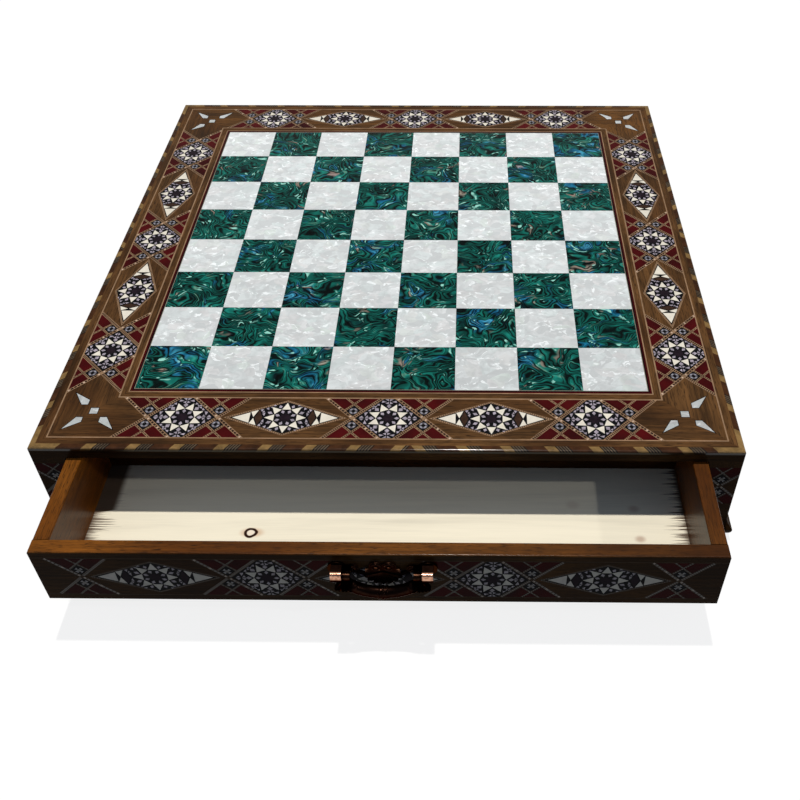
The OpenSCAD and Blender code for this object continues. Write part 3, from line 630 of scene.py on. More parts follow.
class CHESSBOX_OT_woods(bpy.types.Operator):
    """Gives the boards, veneers and strips their woods"""

    bl_idname = "chessbox.woods"
    bl_label = "Woods"

    def execute(self, context):
        walnut, string, ebony, stain = dye("walnut"), dye("string"), dye("ebony"), dye("stain")
        far = (1, 0.17, 0.2, (0.9, 0.8, 0.55))
        give(wood("walnut_veneer", walnut, "round", drift=far, **GLOSS), "walnut_bands", "corner_veneers")
        give(wood("walnut_field", walnut, "round", fields=True, drift=far, **GLOSS), "band_fields")
        # The core, walls, stiles and drawers' fronts take walnut darkened to about a third: painted shade
        # of the faces that stand out of the overhead light.
        give(wood("walnut_core", shade(walnut, 0.3), "x", **SATIN), "top_board", "base_board", "feet")
        dark = shade(walnut, 0.36)
        give(wood("walnut_wall", dark, "y", **SATIN), "left_panel", "right_panel", "wall_walnut")
        give(wood("walnut_front", dark, "x", **SATIN), "corner_stiles", *both_drawers("drawer_walnut"))
        beech = wood("beech", srgb(196, 160, 118), "x", 0.4, roughness=0.6, coat=0.0)
        give(beech, "drawer_guides", "drawer_stops")
        strings = plain_wood("string", string)
        give(strings, "light_strings", "ladder_strips", "narrow_strips", "lozenge_borders")
        # The strips of the upright faces are much darker than the top's: painted shade.
        strings = plain_wood("string_side", shade(string, 0.15), **SATIN)
        give(strings, "wall_lattice", *both_drawers("drawer_lattice"))
        give(plain_wood("red_veneer", dye("red"), 0.7, 30.0, coat=0.25), "red_panes")
        give(panes_material("red_wall", WALL_MIDDLE_Z, **SATIN), "wall_panes")
        give(panes_material("red_drawer", DRAWER_MIDDLE_Z, **SATIN), *both_drawers("drawer_panes"))
        give(fillet_material(), "red_fillet")
        MADE["ebony"] = plain_wood("ebony", ebony, 0.3)
        give(MADE["ebony"], "black_diamonds", "star_grounds")
        give(plain_wood("ebony_side", ebony, 0.3, **SATIN), "wall_grounds", *both_drawers("drawer_grounds"))
        give(hearts_material(dye("heart"), srgb(56, 38, 28)), "star_hearts")
        ends = (0, 0.2, -0.2, (2.0, 2.0, 1.8))
        fronts = wood("stained_front", shade(stain, 0.7), "x", 0.7, drift=ends, **VARNISH)
        give(fronts, *both_drawers("drawer_front"))
        ends = (0, 0.2, -0.2, (1.5, 1.5, 1.2))
        sides = wood("stained_side", stain, "y", 0.7, drift=ends, **VARNISH)
        give(sides, *both_drawers("drawer_left", "drawer_right"))
        # The drawers' back boards are darker: painted shade, deep under the top.
        backs = wood("stained_back", shade(stain, 0.3), "x", 0.7, roughness=0.5, coat=0.05)
        give(backs, *both_drawers("drawer_back"))
        give(pine_material(), *both_drawers("drawer_floor"))
        return {"FINISHED"}


class CHESSBOX_OT_shells(bpy.types.Operator):
    """Gives the squares and the mosaic's pearl pieces their shells"""

    bl_idname = "chessbox.shells"
    bl_label = "Shells"

    def execute(self, context):
        pearl, ivory, lavender = dye("pearl"), dye("ivory"), dye("lavender")
        give(pearl_material("pearl", pearl), "light_squares")
        give(pearl_material("grey_pearl", shade(pearl, 0.74)), "corner_pearls")
        give(plain_wood("pearl_point", ivory, 0.08, 160.0), "pearl_points")
        # The points of the upright faces are darker than the top's: painted shade.
        points = plain_wood("pearl_point_side", shade(ivory, 0.68), 0.1, 160.0, coat=0.1, specular=0.05)
        give(points, "wall_points", *both_drawers("drawer_points"))
        give(abalone_material(), "dark_squares")
        MADE["lavender"] = plain_wood("lavender_shell", lavender, 0.35, 260.0, 0.45)
        give(plain_wood("rosette_shell", shade(lavender, 0.3), 0.4, 260.0), "rosettes")
        return {"FINISHED"}


# Building blocks for laid pieces


def link(mesh, name):
    piece = bpy.data.objects.new(name, mesh)
    bpy.context.scene.collection.objects.link(piece)
    return piece


def mesh_of(shape, name):
    mesh = bpy.data.meshes.new(name)
    shape.to_mesh(mesh)
    shape.free()
    return mesh


def anticlockwise(outline):
    turn = sum(a[0] * b[1] - b[0] * a[1] for a, b in zip(outline, outline[1:] + outline[:1]))
    return outline if turn > 0 else outline[::-1]


def bridge(shape, ring, other):
    """The faces that join two rings of as many points."""
    ahead, other_ahead = ring[1:] + ring[:1], other[1:] + other[:1]
    return [shape.faces.new(corners) for corners in zip(ring, ahead, other_ahead, other)]


def prisms(name, outlines):
    """A mesh of thin flat pieces, each an outline in u and v, let into the ground."""
    shape = bmesh.new()
    for outline in outlines:
        points = anticlockwise(outline)
        bottom = [shape.verts.new((u, v, -GROUND_DROP)) for u, v in points]
        top = [shape.verts.new((u, v, OVERLAY)) for u, v in points]
        shape.faces.new(top)
        shape.faces.new(bottom[::-1])
        bridge(shape, bottom, top)
    return mesh_of(shape, name)


class Growth(Nodes):
    """A geometry tree with named inputs, each a label, a kind and a default."""

    def __init__(self, name, *inputs):
        super().__init__(bpy.data.node_groups.new(name, "GeometryNodeTree"))
        face = self.tree.interface
        face.new_socket(name="Geometry", in_out="OUTPUT", socket_type="NodeSocketGeometry")
        self.names = {}
        first, last = ("Geometry", "Geometry", None), ("Material", "Material", None)
        for label, kind, default in (first, *inputs, last):
            socket = face.new_socket(name=label, in_out="INPUT", socket_type="NodeSocket" + kind)
            if default is not None:
                socket.default_value = default
            self.names[label] = socket.identifier
        self.source = self.node("NodeGroupInput", ()).outputs

    def finish(self, points, piece, turn):
        """Sets a turned piece on every point, makes the pieces real and paints them."""
        spread = self.add(
            "GeometryNodeInstanceOnPoints", {"Points": points, "Instance": piece, "Rotation": turn}
        )
        real = self.add("GeometryNodeRealizeInstances", (spread,))
        painted = self.add(
            "GeometryNodeSetMaterial", {"Geometry": real, "Material": self.source["Material"]}
        )
        self.node("NodeGroupOutput", (painted,))

    def grown(self, source, settings):
        """The plain mesh that the tree makes of a helper object. Helper and tree are then removed."""
        modifier = source.modifiers.new("grow", "NODES")
        modifier.node_group = self.tree
        for label, value in settings.items():
            modifier[self.names[label]] = value
        bpy.context.view_layer.update()
        evaluated = source.evaluated_get(bpy.context.evaluated_depsgraph_get())
        mesh = bpy.data.meshes.new_from_object(evaluated)
        bpy.data.objects.remove(source)
        bpy.data.node_groups.remove(self.tree)
        return mesh


def pieces_on_places():
    """Sets a piece on every point, turned as the point says."""
    tree = Growth("pieces_on_places", ("Piece", "Object", None))
    turn = tree.add("GeometryNodeInputNamedAttribute", {"Name": "turn"}, data_type="FLOAT_VECTOR")
    piece = tree.add("GeometryNodeObjectInfo", {"Object": tree.source["Piece"]}, "Geometry")
    tree.finish(tree.source["Geometry"], piece, turn)
    return tree


def rungs_along_lines():
    """Sets a small block across every line at an even pitch."""
    size = (1.0 * MM, 1.0 * MM, 0.1 * MM)
    tree = Growth("rungs_along_lines", ("Pitch", "Float", 2.0 * MM), ("Size", "Vector", size))
    curves = tree.add("GeometryNodeMeshToCurve", (tree.source["Geometry"],))
    evenly = tree.add(
        "GeometryNodeResampleCurve", {"Curve": curves, "Length": tree.source["Pitch"]}, mode="LENGTH"
    )
    points = tree.node("GeometryNodeCurveToPoints", {"Curve": evenly}, mode="EVALUATED").outputs
    align = tree.add(
        "FunctionNodeAlignRotationToVector", {"Vector": points["Tangent"]}, axis="X", pivot_axis="Z"
    )
    block = tree.add("GeometryNodeMeshCube", {"Size": tree.source["Size"]}, "Mesh")
    tree.finish(points["Points"], block, align)
    return tree


def set_on_places(name, mesh, places, colour):
    """One piece that repeats a mesh at every place, a list of matrices."""
    points = bpy.data.meshes.new(name + "_places")
    points.from_pydata([place.translation for place in places], [], [])
    turns = points.attributes.new("turn", "FLOAT_VECTOR", "POINT")
    for k, place in enumerate(places):
        turns.data[k].vector = place.to_euler()
    shape = link(mesh, name + "_shape")
    settings = {"Piece": shape, "Material": colour}
    piece = link(pieces_on_places().grown(link(points, name + "_source"), settings), name)
    bpy.data.objects.remove(shape)
    return piece


def rungs_on(lines, pitch, size, colour):
    """A flat mesh with a block at every pitch along the lines, pairs of points in u and v."""
    mesh = bpy.data.meshes.new("lines")
    points = [(*end, 0) for line in lines for end in line]
    mesh.from_pydata(points, [(2 * k, 2 * k + 1) for k in range(len(lines))], [])
    settings = {"Pitch": pitch, "Size": size, "Material": colour}
    return rungs_along_lines().grown(link(mesh, "rung_lines"), settings)


def joined(name, pieces):
    """One object of several, which keep their materials."""
    whole = pieces[0]
    with bpy.context.temp_override(
        active_object=whole, object=whole, selected_objects=pieces, selected_editable_objects=pieces
    ):
        bpy.ops.object.join()
    whole.name = name
    return whole


def settle(piece, body):
    """Says which body a finished piece rides on."""
    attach(piece, body)


# Where the bands lie


def turned(degrees):
    return Matrix.Rotation(math.radians(degrees), 4, "Z")


def round_the_box(angles=(0, 90, 180, 270)):
    """Turns about the middle of the box."""
    middle = Matrix.Translation((0, BOX_MIDDLE.y, 0))
    return [middle @ turned(angle) for angle in angles]


def top_faces():
    return [side @ Matrix.Translation((0, -BAND_MID, HEIGHT)) for side in round_the_box()]


def upright(y, z):
    return Matrix.Translation((0, y, z)) @ Matrix.Rotation(math.radians(90), 4, "X")


def wall_faces(*angles):
    return [side @ upright(-BOX_HALF, WALL_MIDDLE_Z) for side in round_the_box(angles)]


def drawer_face(drawer):
    if drawer == "front":
        return upright(FRONT_FACE_Y, DRAWER_MIDDLE_Z)
    return turned(180) @ upright(-REAR_FACE_Y, DRAWER_MIDDLE_Z)


def along(faces, positions):
    return [face @ Matrix.Translation((u, 0, 0)) for face in faces for u in positions]


# The top and the walls have three stars in a row with two lozenges between them, and a drawer's front
# has two stars and three lozenges.
IN_THREES = (-STAR_PITCH, 0, STAR_PITCH)
IN_TWOS = (-STAR_PITCH / 2, STAR_PITCH / 2)
DRAWER_END = 1.5 * STAR_PITCH
STILE_MIDDLE = (BOX_HALF + DRAWER_HALF_W + DRAWER_GAP) / 2
STILE_HALF = (BOX_HALF - DRAWER_HALF_W - DRAWER_GAP) / 2


def band_places(on_box, on_drawer):
    """For each body, places along its bands."""
    places = {"box": along(top_faces() + wall_faces(90, -90), on_box)}
    for drawer in DRAWERS:
        places[f"{drawer}_drawer"] = along([drawer_face(drawer)], on_drawer)
    return places


def star_places():
    return band_places(IN_THREES, IN_TWOS)


def lozenge_places():
    return band_places(IN_TWOS, IN_THREES)


def ride_all(name, mesh, places_by_body, colour):
    """One piece for each body, set on the body's places."""
    for body, places in places_by_body.items():
        settle(set_on_places(f"{body}_{name}", mesh.copy(), places, colour), body)


# Flat pieces


def polar(radius, degrees):
    angle = math.radians(degrees)
    return (radius * math.cos(angle), radius * math.sin(angle))


def rotated(outline, degrees):
    cos, sin = polar(1, degrees)
    return [(cos * u - sin * v, sin * u + cos * v) for u, v in outline]


def in_mm(*points):
    return [(u * MM, v * MM) for u, v in points]


def mirrored(outlines):
    """The outlines in all four quarters."""
    return [
        [(i * u, j * v) for u, v in outline] for outline in outlines for i in (-1, 1) for j in (-1, 1)
    ]


def kite(near, wide, far, half):
    return in_mm((near, 0), (wide, half), (far, 0), (wide, -half))


def between_points(angle, far):
    """The small pieces between two points of a star: a kite and two slivers beyond it."""
    sliver = in_mm((14.1, 0.45), (far, 0.45), (15.0, 2.7))
    other = [(u, -v) for u, v in sliver]
    return [rotated(piece, angle) for piece in (kite(10.1, 12.3, 14.2, 1.75), sliver, other)]


def round_the_heart(first):
    """Eight thin kites round the heart, one under each point."""
    return [rotated(kite(4.2, 6.2, 8.0, 1.35), first + 45 * k) for k in range(8)]


def small_pieces_of_star():
    """Grey pieces round the heart and between the points, and triangles towards the four corners."""
    outer = [piece for k in range(8) for piece in between_points(45 * k, 16.6 if k % 2 == 0 else 15.9)]
    flanks = mirrored([
        in_mm((16.6, 2.0), (17.6, 5.4), (15.0, 5.9)), in_mm((17.6, 0.4), (19.0, 2.2), (20.9, 0.4)),
        in_mm((0.4, 17.2), (3.0, 19.2), (0.4, 19.2)), in_mm((2.0, 16.5), (5.6, 15.6), (5.0, 17.8)),
        in_mm((9.6, 11.4), (12.3, 11.2), (10.9, 12.5)), in_mm((12.8, 6.8), (14.8, 7.2), (13.0, 9.4)),
        in_mm((6.8, 12.8), (9.2, 13.0), (7.2, 14.9)),
    ])
    return round_the_heart(0) + outer + flanks


def small_pieces_of_lozenge():
    """Grey pieces round the heart, between the points and along the slanting edges."""
    outer = mirrored([
        rotated(kite(10.2, 11.8, 13.6, 1.35), 67.5), rotated(kite(10.2, 12.4, 14.4, 1.4), 22.5),
    ])
    beside = mirrored([
        in_mm((15.3, 1.4), (16.8, 3.6), (14.9, 5.0)), in_mm((15.2, 5.6), (17.0, 4.6), (16.3, 7.0)),
        in_mm((17.4, 5.8), (18.8, 8.0), (16.4, 8.6)), in_mm((12.6, 7.6), (14.8, 8.9), (12.9, 10.4)),
        in_mm((7.6, 11.8), (10.2, 11.6), (8.6, 13.0)), in_mm((10.4, 9.4), (12.0, 10.6), (10.4, 11.0)),
    ])
    return round_the_heart(22.5) + outer + beside


def diag(total, difference):
    """The point whose u and v have this sum and difference, where a rising and a falling line meet."""
    return ((total + difference) / 2, (total - difference) / 2)


def on_diamonds(outlines, sides):
    """The outlines moved to a star's small black diamonds, left (-1) and right (1) of it."""
    middle = diag((LADDER_REACH + NARROW_FAR) / 2, (NARROW_NEAR + LADDER_REACH) / 2)
    return [
        [(i * middle[0] + u, j * middle[1] + v) for u, v in outline]
        for i in sides for j in (-1, 1) for outline in outlines
    ]


def rosette_facets():
    """The four light facets of the ring in a small black diamond."""
    inner = ROSETTE_R * 0.55
    return [
        [polar(ROSETTE_R, a - 22), polar(ROSETTE_R, a + 22), polar(inner, a + 22), polar(inner, a - 22)]
        for a in range(45, 405, 90)
    ]


def rosette_centre():
    """The black disc inside the ring."""
    return [[polar(ROSETTE_R * 0.52, a) for a in range(0, 360, 45)]]


# On which sides of its star each set of lines has small black diamonds.
SIDES = {"whole": (-1, 1), "right": (1,), "left": (-1,), "stile": (1,), "stile_left": (-1,)}


def ride_in_sets(name, layers):
    """One piece for each body, joined of layers on the places of its sets of lines. A layer is a function
    that makes the flat mesh for a set's name, and its material."""
    for body, by_set in lattice_places().items():
        made = [
            set_on_places(f"{body}_{name}_{number}_{which}", flat(which), places, colour)
            for number, (flat, colour) in enumerate(layers) for which, places in by_set.items()
        ]
        settle(joined(f"{body}_{name}", made), body)


def ride_on_diamonds(name, outlines, colour):
    """The outlines on the small black diamonds of all stars, half stars and stiles."""

    def flat(which):
        return prisms(name, on_diamonds(outlines, SIDES[which]))

    ride_in_sets(name, [(flat, colour)])


def outline_strips(outline, width):
    """The narrow quads that run round a convex outline, outside it."""
    inner = [Vector(point) for point in anticlockwise(outline)]
    ahead = inner[1:] + inner[:1]
    outer = []
    for before, point, after in zip(inner[-1:] + inner[:-1], inner, ahead):
        first, second = (point - before).normalized(), (after - point).normalized()
        normal = Vector((first.y, -first.x)) + Vector((second.y, -second.x))
        outer.append(point + normal * (2 * width / normal.dot(normal)))
    outer_ahead = outer[1:] + outer[:1]
    return [[tuple(point) for point in quad] for quad in zip(inner, ahead, outer_ahead, outer)]


CORNER_OUTLINE_W = 0.45 * MM


def corner_motif():
    """A corner's pearl square, and the three kites that point away from it."""
    half = 2.85
    square = in_mm((-half, -half), (half, -half), (half, half), (-half, half))
    return [square] + [rotated(kite(9.1, 12.3, 25.7, 3.3), a) for a in (-45, 45, 135)]


class CHESSBOX_OT_mosaic(bpy.types.Operator):
    """Lays the small shell pieces of the stars, lozenges, rosettes and corners"""

    bl_idname = "chessbox.mosaic"
    bl_label = "Mosaic"

    def execute(self, context):
        lavender, ebony = MADE["lavender"], MADE["ebony"]
        stars = prisms("star_pieces", small_pieces_of_star())
        ride_all("star_kites", stars, star_places(), lavender)
        lozenges = prisms("lozenge_pieces", small_pieces_of_lozenge())
        ride_all("lozenge_kites", lozenges, lozenge_places(), lavender)
        light = plain_wood("facet_shell", srgb(146, 146, 154), 0.3, 300.0, 0.27)
        ride_on_diamonds("rosette_centres", rosette_centre(), ebony)
        ride_on_diamonds("rosette_facets", rosette_facets(), light)
        lines = [strip for pearl in corner_motif() for strip in outline_strips(pearl, CORNER_OUTLINE_W)]
        inwards = Matrix.Translation((BOX_HALF - MOTIF_IN, BOX_HALF - MOTIF_IN, HEIGHT))
        corners = [corner @ inwards for corner in round_the_box()]
        ride_all("corner_outlines", prisms("outlines", lines), {"box": corners}, ebony)
        return {"FINISHED"}


# How far the lines of rungs keep from a crossing of strips, from the band's edge and from a stile's,
# and the shortest one that is laid.
CROSSING_GAP = 2.2 * MM
BAND_EDGE_GAP = 0.6 * MM
STILE_EDGE_GAP = 1.0 * MM
SHORTEST_LINE = 1.5 * MM


def clipped(line, low, high):
    """The part of a line that lies between two values of u, or None where hardly any does."""
    (u0, v0), (u1, v1) = sorted(line)
    start, end = max(u0, low), min(u1, high)
    if end - start < SHORTEST_LINE:
        return None
    slope = (v1 - v0) / (u1 - u0)
    return ((start, v0 + slope * (start - u0)), (end, v0 + slope * (end - u0)))


def lattice_lines():
    """Middle lines of the strips right of a star, as kind, whether it rises to the right, and line."""
    near = CROSSING_GAP / math.sqrt(2)
    edge = BAND_HALF - BAND_EDGE_GAP
    ladder = LADDER_W / math.sqrt(2)
    first = diag(LADDER_REACH + ladder + near, NARROW_NEAR)
    last = diag(NARROW_FAR, LADDER_REACH - ladder - near)
    lines = []
    for side in (-1, 1):
        for way in (-1, 1):
            ends = [(LADDER_REACH + way * reach, side * reach) for reach in (near, edge)]
            lines.append(("ladder", side * way > 0, ends))
        inner = [(first[0], side * first[1]), (NARROW_NEAR + edge, side * edge)]
        outer = [(NARROW_FAR - edge, side * edge), (last[0], side * last[1])]
        lines += [("narrow", side > 0, inner), ("narrow", side < 0, outer)]
    return lines


def lattice_sets():
    """Lines of a whole star, of its right and left halves, and of the crossing on a stile."""

    def flipped(lines):
        return [(kind, not rises, [(-u, v) for u, v in line]) for kind, rises, line in lines]

    right = lattice_lines()
    reach = STILE_HALF - STILE_EDGE_GAP
    low, high = LADDER_REACH - reach, LADDER_REACH + reach
    crossing = [(kind, rises, clipped(line, low, high)) for kind, rises, line in right]
    crossing = [entry for entry in crossing if entry[2]]
    return {
        "whole": right + flipped(right), "right": right, "left": flipped(right),
        "stile": crossing, "stile_left": flipped(crossing),
    }


def lattice_places():
    """For each body, which set of lines lies where."""
    stiles = wall_faces(0, 180)
    stars = star_places()
    places = {"box": {
        "whole": stars["box"],
        "stile": along(stiles, [STILE_MIDDLE - LADDER_REACH]),
        "stile_left": along(stiles, [LADDER_REACH - STILE_MIDDLE]),
    }}
    for drawer in DRAWERS:
        body, face = f"{drawer}_drawer", [drawer_face(drawer)]
        places[body] = {
            "whole": stars[body], "right": along(face, [-DRAWER_END]), "left": along(face, [DRAWER_END]),
        }
    return places


def rungs_layer(kind, rises, pitch, size, colour):
    """A layer of blocks along all strips of a kind that rise to the right, or of those that don't."""

    def flat(which):
        lines = [line for k, r, line in lattice_sets()[which] if (k, r) == (kind, rises)]
        return rungs_on(lines, pitch, size, colour)

    return flat, colour


class CHESSBOX_OT_strips(bpy.types.Operator):
    """Lays the rungs, dashes and teeth of the ladder strips, narrow strips and lozenge borders"""

    bl_idname = "chessbox.strips"
    bl_label = "Strips"

    def execute(self, context):
        sizes = bpy.context.scene.chess_sizes
        dark = plain_wood("dark_rung", srgb(40, 25, 18), 0.3, 400.0, 0.4)
        pale = plain_wood("pale_square", srgb(190, 164, 142), 0.2, 400.0, 0.3)
        # Kind of strip, whether it rises, pitch, the block's length, width and height, and its material.
        layers = [
            rungs_layer("ladder", False, sizes.dash_pitch, (2.1 * MM, 1.5 * MM, 2 * OVERLAY), dark),
            rungs_layer("ladder", False, sizes.pale_pitch, (1.5 * MM, 1.5 * MM, 3 * OVERLAY), pale),
            rungs_layer("ladder", True, sizes.comb_pitch, (1.0 * MM, 1.8 * MM, 2 * OVERLAY), dark),
            rungs_layer("narrow", False, sizes.dash_pitch, (2.2 * MM, 0.6 * MM, 2 * OVERLAY), dark),
            rungs_layer("narrow", True, sizes.comb_pitch, (0.85 * MM, 1.1 * MM, 2 * OVERLAY), dark),
        ]
        ride_in_sets("rungs", layers)
        # The teeth run along the middle of a lozenge's border and stop short of its corners.
        scale = 1 - LOZENGE_BORDER * math.hypot(LOZENGE_L, LOZENGE_H) / (LOZENGE_L * LOZENGE_H) / 2
        reach, height = LOZENGE_L * scale, LOZENGE_H * scale
        edges = mirrored([[(reach * 0.985, height * 0.015), (reach * 0.015, height * 0.985)]])
        teeth = rungs_on(edges, sizes.comb_pitch, (0.7 * MM, 0.75 * MM, 2 * OVERLAY), dark)
        ride_all("lozenge_teeth", teeth, lozenge_places(), dark)
        return {"FINISHED"}


# Rope edging


def rim_profile():
    """The rim's outline, from its inner edge on top over the rounding and down to its lower edge.
    Pairs of outward distance from the box's middle and height."""
    inner = BOX_HALF - ROPE_W
    steps = 8
    curve = [
        (BOX_HALF - RIM_R + RIM_R * math.sin(a), HEIGHT - RIM_R + RIM_R * math.cos(a))
        for a in (math.pi / 2 * k / steps for k in range(steps + 1))
    ]
    return [(inner, HEIGHT)] + curve + [(BOX_HALF, HEIGHT - ROPE_H), (inner, HEIGHT - ROPE_H)]


# How far a joint of the edging runs sideways for each length that it runs down the profile.
ROPE_SLANT = 0.7
# What the mitres leave free at each end, and the size under which a block is left out.
MITRE_GAP = 0.04 * MM
SMALLEST_BLOCK = 0.02 * MM


def slanted_block(shape, profile, block):
    """A block of the edging along a side, cut on the slant and mitred at the corners. A block is its
    start, the way its start leans, its end, the way its end leans and the number of its material."""
    start, start_lean, end, end_lean, index = block
    gone = 0
    first, last = [], []
    for k, (out, z) in enumerate(profile):
        if 0 < k < len(profile) - 1:
            gone += math.dist(profile[k - 1], profile[k])
        limit = out - MITRE_GAP
        for ring, place, lean in ((first, start, start_lean), (last, end, end_lean)):
            x = max(-limit, min(limit, place - ROPE_SLANT * lean * gone))
            ring.append((x, -out, z))
    if all(math.dist(a, b) < SMALLEST_BLOCK for a, b in zip(first, last)):
        return
    a = [shape.verts.new(point) for point in first]
    b = [shape.verts.new(point) for point in last]
    for face in [shape.faces.new(a[::-1]), shape.faces.new(b)] + bridge(shape, a, b):
        face.material_index = index


# A repeat is a pale block, thin stripes in turn black and grey, and a red-brown block for the rest.
ROPE_PALE = 7.4 * MM
ROPE_STRIPE = 1.05 * MM
ROPE_STRIPES = 9
# The long pale block at a corner, and how far it is drawn beyond the corner before the mitre cuts it.
ROPE_CORNER = 22.5 * MM
ROPE_BEYOND = 9 * MM
# Where the first repeat starts on the left, where the last whole one ends on the right, and how many
# whole ones lie right of the seam.
ROPE_FIRST = -209.3 * MM
ROPE_LAST = 202.9 * MM
ROPE_RIGHT = 6
# The woods of the blocks, and their numbers in the same order.
ROPE_WOODS = {
    "pale": (122, 96, 58), "black": (20, 16, 15), "grey": (86, 72, 56), "red": (62, 36, 18),
}
PALE, BLACK, GREY, RED = range(len(ROPE_WOODS))


def edging_blocks(pitch):
    """The blocks of one side. Two lengths start with a long pale block at the corners and meet at a seam
    near the middle, where the slant turns round."""
    long_pale = BOX_HALF - ROPE_CORNER
    beyond = BOX_HALF + ROPE_BEYOND
    seam = ROPE_LAST - ROPE_RIGHT * pitch
    blocks = [
        (-beyond, 1, -long_pale, 1, PALE), (-long_pale, 1, ROPE_FIRST, 1, RED),
        (long_pale, -1, beyond, -1, PALE),
    ]
    for lean, start, high in ((1, ROPE_FIRST, seam), (-1, seam, long_pale)):
        while start < high:
            pieces = [(start, start + ROPE_PALE, PALE)]
            for k in range(ROPE_STRIPES):
                at = start + ROPE_PALE + k * ROPE_STRIPE
                pieces.append((at, at + ROPE_STRIPE, GREY if k % 2 else BLACK))
            pieces.append((start + ROPE_PALE + ROPE_STRIPES * ROPE_STRIPE, start + pitch, RED))
            for begin, end, index in pieces:
                if begin < high:
                    meets = end >= high and lean > 0
                    end_lean, index = (-1, RED) if meets else (lean, index)
                    blocks.append((begin, lean, min(end, high), end_lean, index))
            start += pitch
    return blocks


class CHESSBOX_OT_rope(bpy.types.Operator):
    """Builds the rope edging from slanted blocks of pale, striped and red-brown wood"""

    bl_idname = "chessbox.rope"
    bl_label = "Rope edging"

    def execute(self, context):
        profile = rim_profile()
        shape = bmesh.new()
        for side in round_the_box():
            begin = len(shape.verts)
            for block in edging_blocks(bpy.context.scene.chess_sizes.rope_pitch):
                slanted_block(shape, profile, block)
            shape.verts.ensure_lookup_table()
            bmesh.ops.transform(shape, matrix=side, verts=shape.verts[begin:])
        bmesh.ops.recalc_face_normals(shape, faces=shape.faces)
        mesh = mesh_of(shape, "rope_blocks")
        for name, rgb in ROPE_WOODS.items():
            mesh.materials.append(plain_wood(
                f"rope_{name}", srgb(*rgb), 0.4, 140.0, 0.14, coat=0.42, coat_roughness=0.09
            ))
        piece = link(mesh, "rope_blocks")
        settle(piece, "box")
        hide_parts("rope_edging")
        return {"FINISHED"}


# Pulls


class CHESSBOX_OT_pulls(bpy.types.Operator):
    """Gives the pulls their antiqued copper and the screws their steel"""

    bl_idname = "chessbox.pulls"
    bl_label = "Pulls"

    def execute(self, context):
        give(antique_copper(), *both_drawers("backplate", "bail"))
        give(worn_copper(), *both_drawers("posts"))
        give(steel_material(), "foot_screws", *both_drawers("pull_screws"))
        return {"FINISHED"}


# Stage

FLOOR_HALF = 40.0
OVERHEAD_TOWARDS = (0, -0.178, -1)
SIDE_TOWARDS = (-0.774, 0.258, -0.577)
ROOM, ROOM_BEHIND, ROOM_STRIP = (0.62, 0.76, 1.0), (0.2, 0.22, 0.25), (1.3, 1.3, 1.2)
# The photo's camera, fitted to the corners of the board, the squares and the drawer.
CAMERA_PLACE = (0.0569, -0.6535, 0.5828)
CAMERA_FORWARD = (-0.0110, 0.7339, -0.6792)
CAMERA_RIGHT = (0.9999, 0.0116, -0.0037)
CAMERA_LENS = 42.84
CAMERA_SHIFT = (-0.0714, -0.0439)


def stage_material():
    """Pale where the camera, metal and lacquer see it, and dim to the object, so that the fronts stay
    in shade."""
    paint = Paint("studio_floor", roughness=0.9, coat=0.0, specular=0.0)
    path = paint.node("ShaderNodeLightPath", ()).outputs
    seen = paint.maths("MAXIMUM", path["Is Camera Ray"], path["Is Glossy Ray"])
    seen = paint.maths("MAXIMUM", seen, path["Is Transmission Ray"])
    paint.feed("Emission Color", paint.mix(seen, 0.0, 0.84))
    paint.feed("Emission Strength", 1.0)
    return paint.finished(paint.mix(seen, 0.06, 0.18))


def lamp(name, strength, colour, angle, towards):
    """A distant light that shines the way given."""
    light = bpy.data.lights.new(name, "SUN")
    light.energy = strength
    light.color = colour
    light.angle = angle
    link(light, name).rotation_euler = Vector(towards).to_track_quat("-Z", "Y").to_euler()


def surroundings(strength):
    """A cool dim room, darkest behind the box, with a pale strip low down that the top's gloss shows."""
    world = bpy.data.worlds.new("studio")
    world.use_nodes = True
    room = Nodes(world.node_tree)
    _, y, z = room.split(room.add("ShaderNodeTexCoord", output="Generated"))
    behind = room.between(y, 0.0, 0.6)
    colour = room.mix(behind, ROOM, ROOM_BEHIND)
    colour = room.mix(room.times(behind, room.between(z, 0.58, 0.35)), colour, ROOM_STRIP)
    background = world.node_tree.nodes["Background"].inputs
    room.put(background["Color"], colour)
    room.put(background["Strength"], strength)
    return world


def photo_camera():
    camera = bpy.data.cameras.new("camera")
    camera.sensor_width = 36
    camera.lens = CAMERA_LENS
    camera.shift_x, camera.shift_y = CAMERA_SHIFT
    camera.clip_start = 0.05
    forward = Vector(CAMERA_FORWARD).normalized()
    up = Vector(CAMERA_RIGHT).cross(forward).normalized()
    turn = Matrix((forward.cross(up), up, -forward)).transposed()
    placed = link(camera, "camera")
    placed.matrix_world = Matrix.Translation(CAMERA_PLACE) @ turn.to_4x4()
    return placed


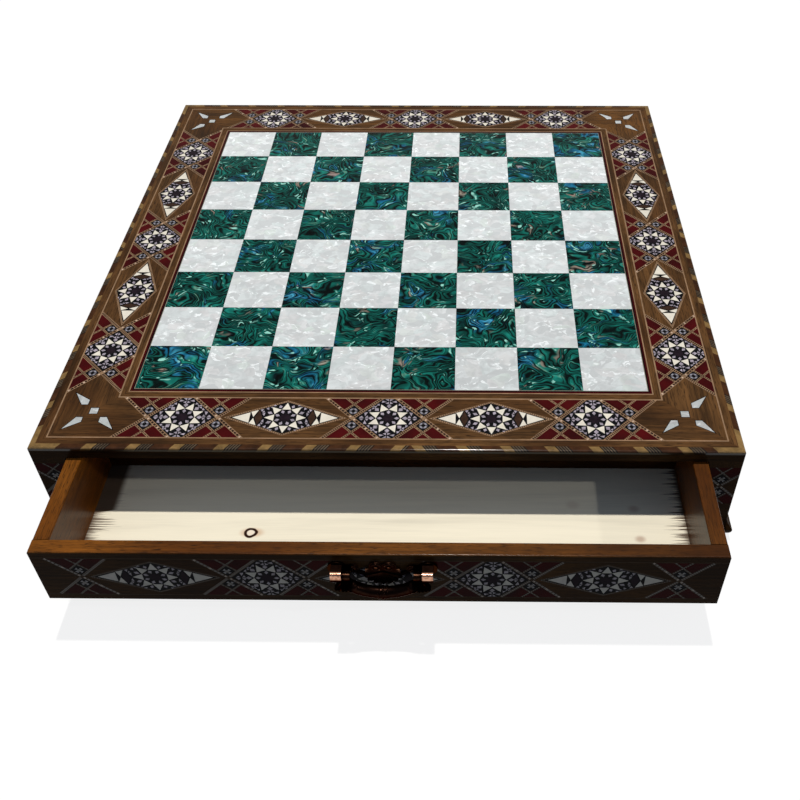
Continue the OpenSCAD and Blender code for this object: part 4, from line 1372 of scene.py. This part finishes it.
class CHESSBOX_OT_stage(bpy.types.Operator):
    """Sets the floor, the light and the camera"""

    bl_idname = "chessbox.stage"
    bl_label = "Stage"

    def execute(self, context):
        scene = bpy.context.scene
        studio = scene.chess_studio
        mesh = bpy.data.meshes.new("floor")
        low, high = -FLOOR_HALF, FLOOR_HALF
        corners = [(low, low, 0), (high, low, 0), (high, high, 0), (low, high, 0)]
        mesh.from_pydata(corners, [], [(0, 1, 2, 3)])
        mesh.materials.append(stage_material())
        link(mesh, "floor")
        lamp("overhead", studio.sun, (1.0, 0.965, 0.91), studio.sun_angle, OVERHEAD_TOWARDS)
        lamp("side", studio.side_lamp, (1.0, 1.0, 0.97), studio.sun_angle, SIDE_TOWARDS)
        scene.world = surroundings(studio.fill)
        scene.view_settings.view_transform = "Standard"
        scene.camera = photo_camera()
        return {"FINISHED"}


class CHESSBOX_PT_panel(bpy.types.Panel):
    """Lists the settings and the steps of the chess box"""

    bl_idname = "CHESSBOX_PT_panel"
    bl_label = "Chess Box"
    bl_space_type = "VIEW_3D"
    bl_region_type = "UI"
    bl_category = "Chess Box"

    def draw(self, context):
        for settings in GROUPS:
            group = getattr(context.scene, settings)
            box = self.layout.box()
            for name in group.__annotations__:
                box.prop(group, name)
        for step in STEPS:
            self.layout.operator(step.bl_idname)


STEPS = (
    CHESSBOX_OT_woods, CHESSBOX_OT_shells, CHESSBOX_OT_mosaic, CHESSBOX_OT_strips, CHESSBOX_OT_rope,
    CHESSBOX_OT_pulls, CHESSBOX_OT_stage,
)
GROUPS = {"chess_colours": BoxColours, "chess_sizes": BoxSizes, "chess_studio": StudioSettings}
CLASSES = (*GROUPS.values(), *STEPS, CHESSBOX_PT_panel)


def register():
    for entry in CLASSES:
        bpy.utils.register_class(entry)
    for name, group in GROUPS.items():
        setattr(bpy.types.Scene, name, bpy.props.PointerProperty(type=group))


def unregister():
    for name in GROUPS:
        delattr(bpy.types.Scene, name)
    for entry in reversed(CLASSES):
        bpy.utils.unregister_class(entry)


def main():
    register()
    bpy.ops.chessbox.woods()
    bpy.ops.chessbox.shells()
    bpy.ops.chessbox.mosaic()
    bpy.ops.chessbox.strips()
    bpy.ops.chessbox.rope()
    bpy.ops.chessbox.pulls()
    bpy.ops.chessbox.stage()


if __name__ == "__main__":
    main()
